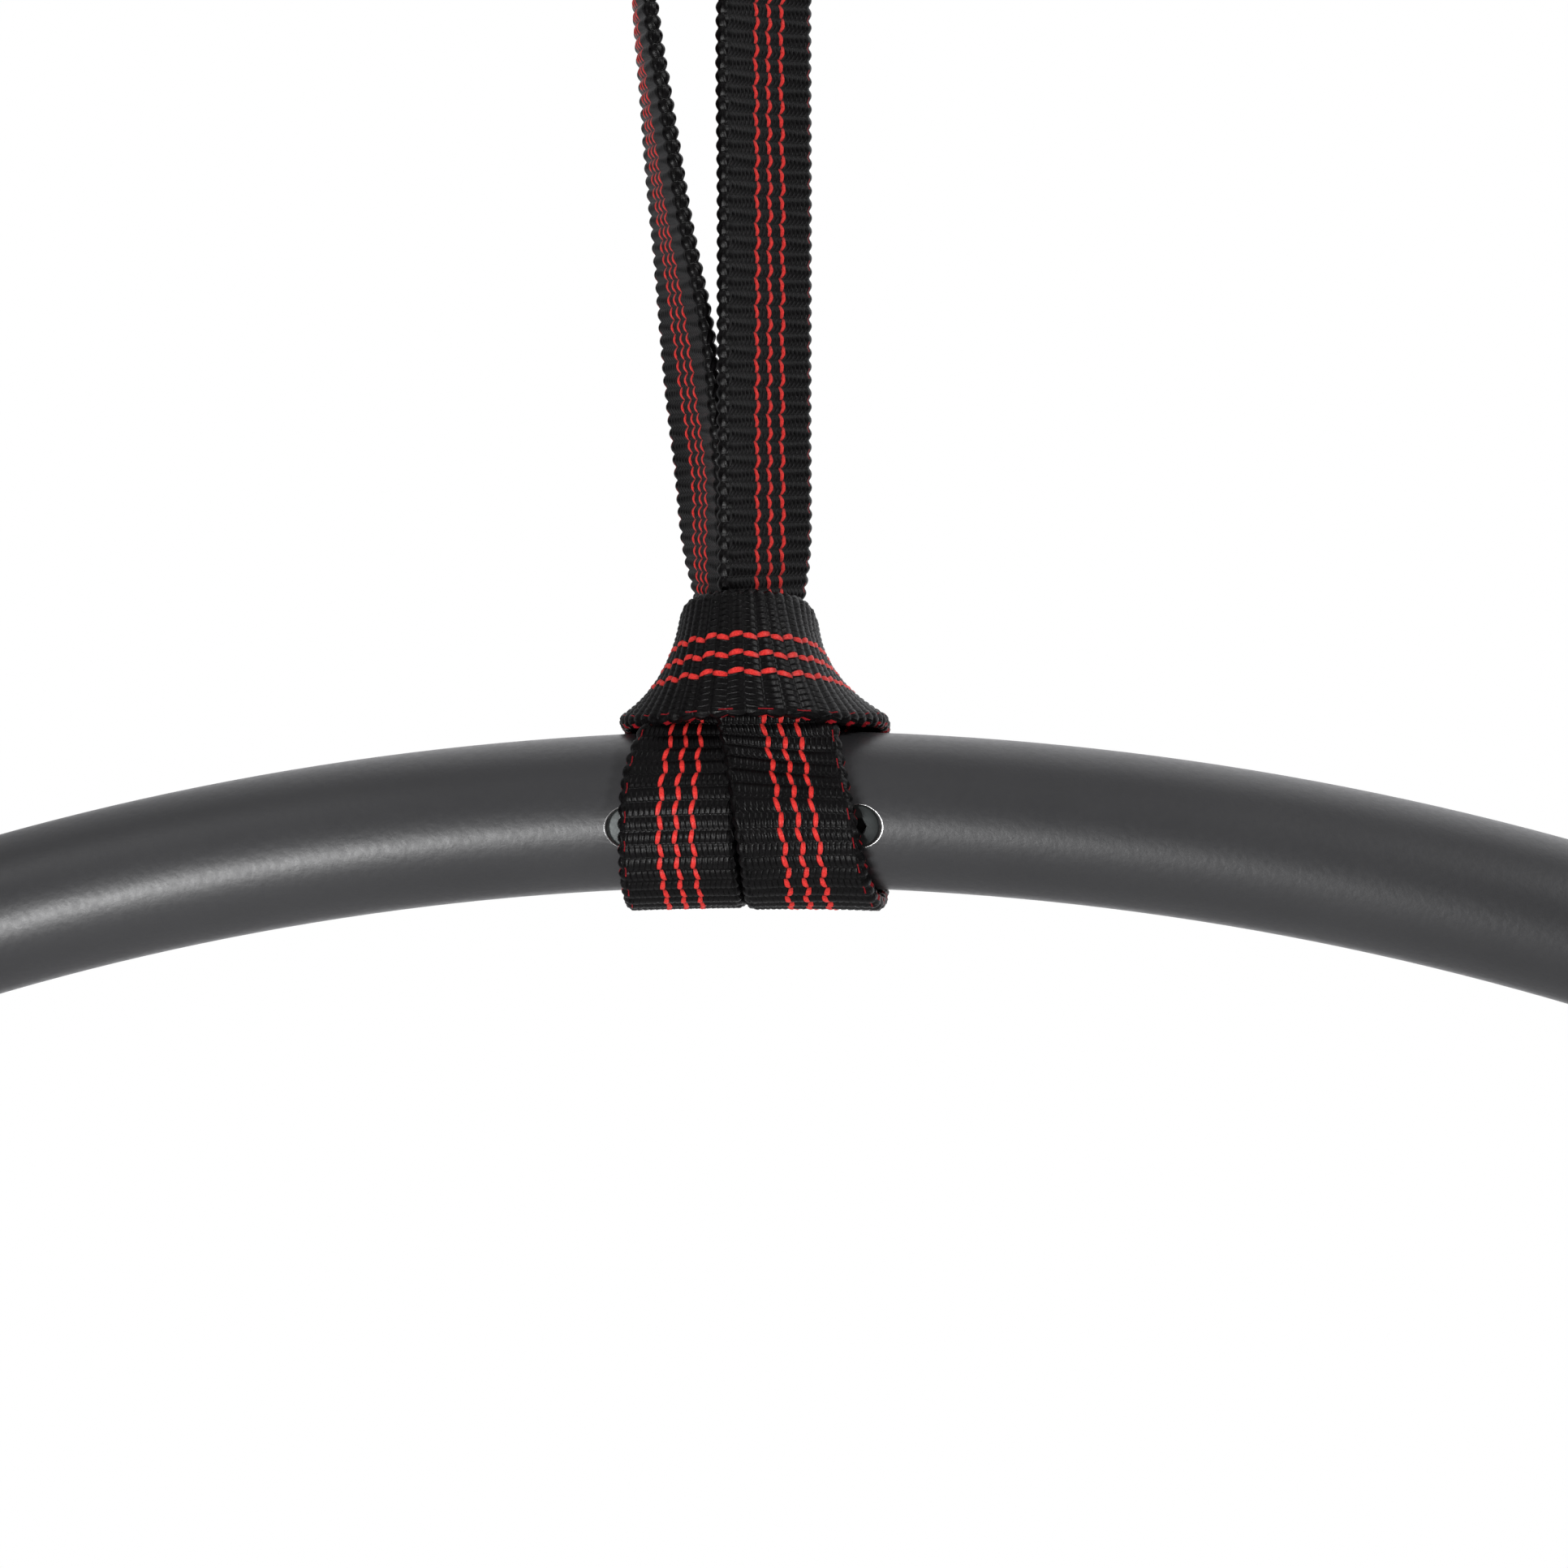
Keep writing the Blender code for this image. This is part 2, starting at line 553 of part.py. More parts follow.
def section_ring(angle, radius):
    return [hoop_point(angle, HOOP_RADIUS + radius * math.cos(a), radius * math.sin(a))
            for a in (math.tau * (k + 0.5) / TUBE_SIDES for k in range(TUBE_SIDES))]


def bent_tube(angles, outer_radius, wall):
    """Hollow tube along the ring, closed by a flat annulus at each end."""
    shape = bmesh.new()
    outer = [[shape.verts.new(p) for p in section_ring(a, outer_radius)] for a in angles]
    inner = [[shape.verts.new(p) for p in section_ring(a, outer_radius - wall)] for a in angles]
    for rings, flip in ((outer, False), (inner, True)):
        for low, high in zip(rings, rings[1:]):
            for i in range(TUBE_SIDES):
                j = (i + 1) % TUBE_SIDES
                face = (low[i], low[j], high[j], high[i])
                shape.faces.new(tuple(reversed(face)) if flip else face)
    for k, flip in ((0, True), (-1, False)):
        for i in range(TUBE_SIDES):
            j = (i + 1) % TUBE_SIDES
            face = (outer[k][i], outer[k][j], inner[k][j], inner[k][i])
            shape.faces.new(tuple(reversed(face)) if flip else face)
    return shape


def hoop_halves():
    butt = GAP / 2.0 / HOOP_RADIUS
    step = math.pi / HOOP_SEGMENTS
    for name, side in (("hoop_right_half", 1.0), ("hoop_left_half", -1.0)):
        angles = [side * min(max(step * i, butt), math.pi - butt) for i in range(HOOP_SEGMENTS + 1)]
        half = add_object(name, bent_tube(angles, TUBE_RADIUS, TUBE_WALL), powder_coat())
        for where, base in (("top", 0.0), ("bottom", math.pi)):
            cutter = screw_shape(base, side, GAP, SCREW_SUNK)
            add_boolean(half, add_object("%s_%s_countersink" % (name, where), cutter), "DIFFERENCE")


def joint_sleeves():
    step = math.pi / HOOP_SEGMENTS
    fit = TUBE_RADIUS - TUBE_WALL - GAP
    for name, base in (("joint_sleeve_top", 0.0), ("joint_sleeve_bottom", math.pi)):
        angles = [base + step * i for i in range(-SLEEVE_SEGMENTS, SLEEVE_SEGMENTS + 1)]
        sleeve = add_object(name, bent_tube(angles, fit, SLEEVE_WALL), raw_steel())
        for side_name, side in (("right", 1.0), ("left", -1.0)):
            cutter = screw_shape(base, side, GAP, 0.0)
            add_boolean(sleeve, add_object("%s_%s_hole" % (name, side_name), cutter), "DIFFERENCE")


def screw_frame(base, side):
    """Place and direction of one joint screw: on the front of the tube, beside the butt joint."""
    angle = base + side * SCREW_OFFSET / HOOP_RADIUS * (1.0 if base == 0.0 else -1.0)
    centre = hoop_point(angle, HOOP_RADIUS, 0.0)
    radial = (centre - Vector((0.0, 0.0, HOOP_CENTRE_Z))).normalized()
    lean = SCREW_TILT if base == 0.0 else -SCREW_TILT
    outward = Vector((0.0, -math.cos(lean), 0.0)) + radial * math.sin(lean)
    return centre, outward


def screw_shape(base, side, extra, rise):
    """Countersunk screw as a solid; extra grows it into its hole and rise carries its head outwards."""
    centre, outward = screw_frame(base, side)
    face = TUBE_RADIUS - SCREW_SUNK
    head = SCREW_HEAD_RADIUS + extra
    shank = SCREW_SHANK_RADIUS + extra
    tip = face - SCREW_LENGTH - extra
    profile = [(head, face - extra), (shank, face - SCREW_HEAD_HEIGHT - extra), (shank, tip), (0.0, tip)]
    top = face + extra + 2.0 * rise
    if top > face:
        profile += [(0.0, top), (head, top)]
    else:
        profile += [(0.0, face)]
    shape = turned(profile, SCREW_SIDES)
    turn = Vector((0.0, 0.0, 1.0)).rotation_difference(outward).to_matrix().to_4x4()
    bmesh.ops.transform(shape, matrix=Matrix.Translation(centre) @ turn, verts=shape.verts)
    return shape


def joint_screws():
    face = TUBE_RADIUS - SCREW_SUNK
    for where, base in (("top", 0.0), ("bottom", math.pi)):
        for side_name, side in (("left", -1.0), ("right", 1.0)):
            name = "screw_%s_%s" % (where, side_name)
            item = add_object(name, screw_shape(base, side, 0.0, 0.0), black_screw())
            centre, outward = screw_frame(base, side)
            socket = rod_between(centre + outward * (face - SCREW_SOCKET_DEPTH),
                                 centre + outward * (face + SCREW_SOCKET_DEPTH), SCREW_SOCKET_RADIUS, 6)
            add_boolean(item, add_object(name + "_socket", socket), "DIFFERENCE")


# -------------------------------------------------------------------- sling
# Stations of the webbing, in millimetres from the tube's centre at the hitch.  Each is the plain
# edge and then the red-stitched edge.  The strands run from the hanging leg down the front of the
# tube, under it, up behind it and round the neck to the middle of the collar.
RIGHT_STRAND = (
    ((-4.4, -7.3, 100.0), (10.4, 6.1, 100.0)),
    ((-4.4, -7.3, 70.0), (10.4, 6.1, 70.0)),
    ((-4.4, -7.3, 46.0), (10.4, 6.1, 46.0)),
    ((-4.4, -7.2, 36.0), (10.0, 5.6, 36.0)),
    ((-4.2, -8.4, 27.0), (9.2, 2.0, 28.5)),
    ((-3.2, -11.0, 18.0), (11.4, -3.8, 19.8)),
    ((-1.7, -12.8, 10.0), (15.0, -10.2, 12.0)),
    ((-2.4, -14.9, 0.0), (18.0, -14.9, 0.0)),
    ((-1.0, -10.5, -10.5), (20.4, -10.5, -10.5)),
    ((0.6, 0.0, -14.9), (21.6, 0.0, -14.9)),
    ((0.9, 10.5, -10.5), (21.6, 10.5, -10.5)),
    ((0.9, 14.9, 0.0), (21.6, 14.9, -0.6)),
    ((3.6, 14.3, 10.5), (23.2, 13.3, 7.0)),
    ((8.8, 11.6, 21.5), (24.3, 7.8, 13.3)),
    ((12.4, 4.8, 29.2), (24.0, 0.6, 14.6)),
    ((11.6, -3.6, 32.7), (20.6, -7.2, 14.9)),
    ((6.6, -9.0, 33.4), (12.5, -13.4, 15.2)),
)
LEFT_STRAND = (
    ((-13.4, -9.0, 129.0), (-16.2, 10.8, 129.0)),
    ((-10.2, -7.6, 103.0), (-14.6, 11.9, 103.0)),
    ((-6.4, -5.2, 77.0), (-12.4, 13.8, 77.0)),
    ((-3.4, -2.4, 52.0), (-10.2, 15.6, 52.0)),
    ((-2.5, -1.8, 37.0), (-8.4, 12.5, 38.0)),
    ((-2.4, -2.8, 28.5), (-7.6, 5.0, 29.5)),
    ((-3.6, -5.6, 19.0), (-10.8, -1.6, 20.0)),
    ((-3.6, -10.6, 10.0), (-16.2, -9.8, 12.0)),
    ((-3.2, -14.9, 0.0), (-20.3, -14.9, 0.0)),
    ((-1.8, -10.5, -10.5), (-19.2, -10.5, -10.5)),
    ((-0.2, 0.0, -14.9), (-18.4, 0.0, -14.9)),
    ((0.1, 10.5, -10.5), (-19.4, 10.5, -10.5)),
    ((0.1, 14.9, 0.0), (-20.2, 14.9, -0.6)),
    ((-1.8, 14.3, 10.5), (-20.8, 13.3, 7.0)),
    ((-7.4, 11.6, 21.0), (-21.4, 7.8, 13.3)),
    ((-11.0, 4.8, 28.8), (-20.9, 0.6, 14.6)),
    ((-10.4, -3.6, 32.7), (-17.4, -7.2, 14.9)),
    ((-5.8, -9.0, 33.4), (-9.4, -13.4, 15.2)),
)
COLLAR_MIDDLE = ((0.3, -11.0, 33.6), (1.6, -15.6, 15.4))


def across(plain, red):
    """Points across the strap, from its plain edge to its red-stitched edge."""
    return [plain.lerp(red, k / (STRAP_COLUMNS - 1)) for k in range(STRAP_COLUMNS)]


def on_hoop(point_mm):
    """Place a station; low stations follow the tube, whose ends fall away from the hitch."""
    point = Vector(point_mm) * 0.001
    slope = math.tan(math.pi / HOOP_SEGMENTS / 2.0)
    grip = min(max((STATION_FREE_Z - point.z) / STATION_FREE_Z, 0.0), 1.0)
    point.z += TUBE_TOP_Z - slope * abs(point.x) * grip
    return point


def hitch_rows(stations):
    return [across(on_hoop(plain), on_hoop(red)) for plain, red in stations]


def right_leg_row(height, inside):
    """One row of the leg between the hitch and the rod; inside steps it in to the splice's inner layer."""
    share = (height - LEG_STRAIGHT_TO) / (SLING_DROP - LEG_STRAIGHT_TO)
    share = min(max(share, 0.0), 1.0)
    ease = share * share * (3.0 - 2.0 * share)
    yaw = math.radians(LEG_YAW + (90.0 - LEG_YAW) * ease)
    sideways = ROD_WRAP + SPLICE_LAYER - LEG_CENTRE_X
    centre = Vector((LEG_CENTRE_X + sideways * ease, LEG_CENTRE_Y * (1.0 - ease), TUBE_TOP_Z + height))
    outward = Vector((math.sin(yaw), -math.cos(yaw), 0.0))
    width = Vector((math.cos(yaw), math.sin(yaw), 0.0)) * WEB_WIDTH / 2.0
    centre -= outward * SPLICE_LAYER * inside
    return across(centre - width, centre + width)


def rod_rows():
    """Half turn over the straight lower bar of the carabiner."""
    half = WEB_WIDTH / 2.0
    rows = []
    for i in range(1, ROD_WRAP_STEPS):
        angle = math.pi * i / ROD_WRAP_STEPS
        x = ROD_WRAP * math.cos(angle)
        z = LOWER_ROD_Z + ROD_WRAP * math.sin(angle)
        rows.append(across(Vector((x, -half, z)), Vector((x, half, z))))
    return rows


def left_leg_rows():
    """The left leg below the rod, down to the level where the hitch's own stations begin."""
    half = WEB_WIDTH / 2.0
    rows = []
    for height, x, yaw_left in LEFT_LEG:
        yaw = math.radians(yaw_left)
        width = Vector((-math.cos(yaw), math.sin(yaw), 0.0)) * half
        centre = Vector((x, 0.0, TUBE_TOP_Z + height))
        rows.append(across(centre - width, centre + width))
    return rows


def sling_rows():
    """Rows across the whole strap, from the inner end of the splice round to its outer end."""
    span = (SPLICE_HIGH - SPLICE_LOW) / SPLICE_STEPS
    lapped = [SPLICE_LOW + span * i for i in range(SPLICE_STEPS + 1)]
    rows = [right_leg_row(height, 1.0) for height in lapped + [SLING_DROP]]
    rows += rod_rows()
    rows += left_leg_rows()
    rows += hitch_rows(LEFT_STRAND)
    rows += hitch_rows((COLLAR_MIDDLE,))
    rows += hitch_rows(tuple(reversed(RIGHT_STRAND)))
    rows += [right_leg_row(height, 0.0) for height in [LEG_STRAIGHT_TO] + lapped]
    return rows


def sling_webbing():
    rows = sling_rows()
    lines = [smooth_curve([row[k] for row in rows], CURVE_STEPS) for k in range(STRAP_COLUMNS)]
    count = len(lines[0])
    half = WEB_THICKNESS / 2.0
    rings = []
    for i in range(count):
        before = max(i - 1, 0)
        after = min(i + 1, count - 1)
        outer = []
        inner = []
        for k in range(STRAP_COLUMNS):
            along = lines[k][after] - lines[k][before]
            side = lines[min(k + 1, STRAP_COLUMNS - 1)][i] - lines[max(k - 1, 0)][i]
            normal = along.cross(side).normalized() * half
            outer.append(lines[k][i] + normal)
            inner.append(lines[k][i] - normal)
        rings.append(outer + list(reversed(inner)))
    add_object("sling_webbing", skin(rings), webbing())


def splice_tacks():
    """Rows of bar tack lying on the outer layer of the splice."""
    for name, height in zip(("lower", "middle", "upper"), TACK_HEIGHTS):
        row = right_leg_row(height, 0.0)
        centre = row[STRAP_COLUMNS // 2]
        width = (row[-1] - row[0]).normalized()
        up = Vector((0.0, 0.0, 1.0))
        outward = width.cross(up)
        seat = WEB_THICKNESS / 2.0 + 1.5 * GAP
        corners = [width * a * TACK_WIDTH / 2.0 + up * b * TACK_LENGTH / 2.0
                   for a, b in ((-1, -1), (1, -1), (1, 1), (-1, 1))]
        layers = [[centre + c + outward * depth for c in corners] for depth in (seat, seat + TACK_THICKNESS)]
        add_object("splice_tack_" + name, skin(layers), red_thread())


def hang_groups():
    """Hang the pieces from a chain of empties, each standing on its group's joint axis."""
    places = {None: Vector((0.0, 0.0, 0.0))}
    for name, parent, place, pieces in GROUPS:
        places[name] = Vector(place)
        empty = bpy.data.objects.new(name, None)
        bpy.context.scene.collection.objects.link(empty)
        empty.parent = bpy.data.objects[parent] if parent else None
        empty.location = places[name] - places[parent]
        for piece in pieces:
            item = bpy.data.objects[piece]
            item.data.transform(Matrix.Translation(-places[name]))
            item.parent = empty


def main():
    clear_scene()
    swivel_upper_eye()
    swivel_bearing()
    swivel_retaining_ring()
    swivel_lower_eye()
    swivel_shaft_nut()
    carabiner_body()
    carabiner_gate()
    gate_fittings()
    lock_sleeve()
    hoop_halves()
    joint_sleeves()
    joint_screws()
    sling_webbing()
    splice_tacks()
    hang_groups()


main()
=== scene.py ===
import math

import bmesh
import bpy
import numpy as np
from mathutils import Matrix, Vector


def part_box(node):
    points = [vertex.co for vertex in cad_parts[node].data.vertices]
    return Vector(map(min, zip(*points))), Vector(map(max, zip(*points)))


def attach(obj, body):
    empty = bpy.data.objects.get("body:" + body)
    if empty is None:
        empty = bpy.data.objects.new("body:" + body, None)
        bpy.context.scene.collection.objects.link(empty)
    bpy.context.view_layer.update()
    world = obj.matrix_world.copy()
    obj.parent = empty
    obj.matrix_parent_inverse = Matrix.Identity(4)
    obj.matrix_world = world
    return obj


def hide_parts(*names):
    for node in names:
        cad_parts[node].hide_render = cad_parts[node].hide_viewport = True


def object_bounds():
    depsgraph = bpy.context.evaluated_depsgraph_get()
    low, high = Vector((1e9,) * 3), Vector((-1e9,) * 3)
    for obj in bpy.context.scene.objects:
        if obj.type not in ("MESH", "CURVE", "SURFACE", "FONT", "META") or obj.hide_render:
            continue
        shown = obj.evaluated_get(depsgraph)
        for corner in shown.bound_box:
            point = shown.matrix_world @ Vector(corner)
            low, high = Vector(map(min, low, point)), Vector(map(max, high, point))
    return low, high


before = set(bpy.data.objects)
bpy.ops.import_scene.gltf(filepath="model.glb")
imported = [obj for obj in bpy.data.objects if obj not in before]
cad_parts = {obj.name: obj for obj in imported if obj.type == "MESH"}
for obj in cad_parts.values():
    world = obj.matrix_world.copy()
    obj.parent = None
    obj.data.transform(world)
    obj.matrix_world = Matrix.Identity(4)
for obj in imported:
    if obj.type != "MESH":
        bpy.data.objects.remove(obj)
cad_low, cad_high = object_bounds()

MM = 0.001

# Places read from the frame
rod_low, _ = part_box("carabiner_body")
tube_low, tube_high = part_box("hoop_right_half")
TUBE_RADIUS = 12.5 * MM
HOOP_RADIUS = 462.5 * MM
HOOP_CENTRE_Z = (tube_low.z + tube_high.z) / 2.0
TUBE_TOP_Z = HOOP_CENTRE_Z + HOOP_RADIUS
ROD_RADIUS = 5.0 * MM
LOWER_ROD_Z = rod_low.z + ROD_RADIUS
HITCH = Vector((0.0, 0.0, TUBE_TOP_Z))


# ------------------------------------------------------------------- camera
CAMERA_DISTANCE = 0.70
CAMERA_AZIMUTH = math.radians(5.4)
CAMERA_ELEVATION = math.radians(4.0)
CAMERA_ROLL = math.radians(-0.645)
CAMERA_SENSOR = 36.0
CAMERA_LENS = 100.36
CAMERA_SHIFT = (0.0215, 0.0157)
CLIP_START = 0.01
CLIP_END = 100.0


def add_camera():
    """Level with the hitch, a little to the right and above, at arm's length."""
    back = Vector((math.sin(CAMERA_AZIMUTH) * math.cos(CAMERA_ELEVATION),
                   -math.cos(CAMERA_AZIMUTH) * math.cos(CAMERA_ELEVATION), math.sin(CAMERA_ELEVATION)))
    data = bpy.data.cameras.new("camera")
    data.sensor_width = CAMERA_SENSOR
    data.lens = CAMERA_LENS
    data.shift_x, data.shift_y = CAMERA_SHIFT
    data.clip_start = CLIP_START
    data.clip_end = CLIP_END
    camera = bpy.data.objects.new("camera", data)
    bpy.context.scene.collection.objects.link(camera)
    camera.location = HITCH + back * CAMERA_DISTANCE
    camera.rotation_mode = "QUATERNION"
    turn = (-back).to_track_quat("-Z", "Y")
    camera.rotation_quaternion = turn @ Matrix.Rotation(CAMERA_ROLL, 3, "Z").to_quaternion()
    bpy.context.scene.camera = camera


add_camera()


# Weave of the strap, in millimetres: ribs across it, and warp floats that slant the other way in
# every other rib.  The middle one of three red columns lies at RED_MIDDLE.
COLUMN_PITCH = 0.915
RIB_PITCH = 2.15
RED_MIDDLE = 0.3
RED_SPACING = 3.0
HALF_WIDTH = 9.6
EDGE_START = 8.5
EDGE_RADIUS = 1.0
YARN_OFFSET = 0.17
YARN_SLANT = 0.42
RIB_SWELL = 0.26
BLACK_RISE = 0.34
RED_RISE = 0.42


# ---------------------------------------------------------------- materials
NOISE_LOW = 0.3
NOISE_HIGH = 0.7
RANGE_KEYS = ("From Min", "From Max", "To Min", "To Max")
MIX_COLOUR_A = 6
MIX_COLOUR_B = 7
MIX_COLOUR_RESULT = 2

COAT_DARK = (0.032, 0.032, 0.034)
COAT_LIGHT = (0.038, 0.038, 0.040)
COAT_PATCH_SCALE = 35.0
COAT_PEEL_SCALE = 900.0
COAT_GRAIN_SCALE = 2600.0
COAT_ROUGHNESS = (0.37, 0.43)
COAT_PEEL_BUMP = (0.18, 0.2 * MM)
COAT_GRAIN_BUMP = (0.10, 0.1 * MM)

YARN_BLACK_DARK = (0.0014, 0.0012, 0.0014)
YARN_BLACK_LIGHT = (0.0030, 0.0025, 0.0028)
YARN_RED_DARK = (0.52, 0.016, 0.016)
YARN_RED_LIGHT = (0.84, 0.055, 0.045)
# painted shade: darker red mixed into the red floats where they dip into the grooves between ribs
YARN_RED_PAINTED_SHADE = (0.16, 0.006, 0.007)
CATCH_RED = (0.30, 0.010, 0.016)
YARN_WANDER_SCALE = 420.0
FIBRE_SCALE = 4200.0
YARN_ROUGHNESS = (0.31, 0.43)
YARN_SPECULAR = 0.16
YARN_BUMP = (0.9, 0.22 * MM)
FIBRE_BUMP = (0.45, 0.08 * MM)
FLOAT_SPAN = math.pi * 0.98
FLOAT_BLUNTNESS = 0.6
FLOAT_END = 0.14
FLOAT_WAIST = 0.20
FLOAT_BELLY = 0.26
# painted shade: the float heights over which the red floats darken, and the least share of their own red
# that is kept
PAINTED_SHADE_RANGE = (0.15, 0.85)
PAINTED_SHADE_LEAST = 0.25
CATCH_HALF_DASH = 0.19
CATCH_LOW = EDGE_START + 0.35
CATCH_HIGH = EDGE_START + 1.80

METAL_WEAR_ROUGHNESS = 0.6
METAL_FINE_RATIO = 9.0
METAL_FINE_RANGE = (0.25, 0.75)
METAL_BUMP = (0.05, 0.2 * MM)

THREAD_DARK = (0.50, 0.02, 0.018)
THREAD_LIGHT = (0.72, 0.05, 0.04)
THREAD_TWIST_SCALE = 3000.0
THREAD_ROUGHNESS = (0.45, 0.65)
THREAD_BUMP = (0.3, 0.1 * MM)


class Shader:
    """Small helper round one node material with a Principled shader."""

    def __init__(self, name):
        self.material = bpy.data.materials.new(name)
        self.material.use_nodes = True
        self.nodes = self.material.node_tree.nodes
        self.links = self.material.node_tree.links
        self.main = self.nodes["Principled BSDF"]

    def set(self, **values):
        for key, value in values.items():
            self.main.inputs[key.replace("_", " ")].default_value = value

    def add(self, kind, **settings):
        node = self.nodes.new(kind)
        for key, value in settings.items():
            setattr(node, key, value)
        return node

    def coords(self, scale):
        """Object coordinates scaled by three factors."""
        source = self.add("ShaderNodeTexCoord")
        mapping = self.add("ShaderNodeMapping")
        mapping.inputs["Scale"].default_value = scale
        self.links.new(source.outputs["Object"], mapping.inputs["Vector"])
        return mapping.outputs["Vector"]

    def noise(self, scale, detail=4.0, roughness=0.5, stretch=(1.0, 1.0, 1.0)):
        node = self.add("ShaderNodeTexNoise")
        node.inputs["Scale"].default_value = scale
        node.inputs["Detail"].default_value = detail
        node.inputs["Roughness"].default_value = roughness
        self.links.new(self.coords(stretch), node.inputs["Vector"])
        return node.outputs["Fac"]

    def remap(self, value, low, high, to_low, to_high):
        node = self.add("ShaderNodeMapRange")
        self.links.new(value, node.inputs["Value"])
        for key, number in zip(RANGE_KEYS, (low, high, to_low, to_high)):
            node.inputs[key].default_value = number
        return node.outputs["Result"]

    def spread(self, noise, to_low, to_high):
        """Stretch the busy middle of a noise's values over a range."""
        return self.remap(noise, NOISE_LOW, NOISE_HIGH, to_low, to_high)

    def calculate(self, operation, *values):
        """Math node; each value is a number or a socket."""
        node = self.add("ShaderNodeMath", operation=operation)
        for place, value in zip(node.inputs, values):
            if isinstance(value, float):
                place.default_value = value
            else:
                self.links.new(value, place)
        return node.outputs[0]

    def mix(self, share, first, second):
        """Colour mix; first and second are colours or sockets."""
        node = self.add("ShaderNodeMix", data_type="RGBA")
        self.links.new(share, node.inputs["Factor"])
        for key, value in ((MIX_COLOUR_A, first), (MIX_COLOUR_B, second)):
            if isinstance(value, tuple):
                node.inputs[key].default_value = (*value, 1.0)
            else:
                self.links.new(value, node.inputs[key])
        return node.outputs[MIX_COLOUR_RESULT]

    def bump(self, height, strength, distance, base=None):
        node = self.add("ShaderNodeBump")
        node.inputs["Strength"].default_value = strength
        node.inputs["Distance"].default_value = distance
        self.links.new(height, node.inputs["Height"])
        if base is not None:
            self.links.new(base, node.inputs["Normal"])
        return node.outputs["Normal"]

    def drive(self, key, value):
        self.links.new(value, self.main.inputs[key])


def powder_coat():
    """Satin coating with a slight orange peel over a fine grain."""
    s = Shader("powder_coat")
    s.set(Metallic=0.0, Specular_IOR_Level=0.5)
    patch = s.noise(COAT_PATCH_SCALE, 3.0)
    s.drive("Base Color", s.mix(s.spread(patch, 0.0, 1.0), COAT_DARK, COAT_LIGHT))
    peel = s.noise(COAT_PEEL_SCALE, 2.0)
    grain = s.noise(COAT_GRAIN_SCALE, 2.0)
    s.drive("Roughness", s.spread(peel, *COAT_ROUGHNESS))
    s.drive("Normal", s.bump(grain, *COAT_GRAIN_BUMP, s.bump(peel, *COAT_PEEL_BUMP)))
    return s.material


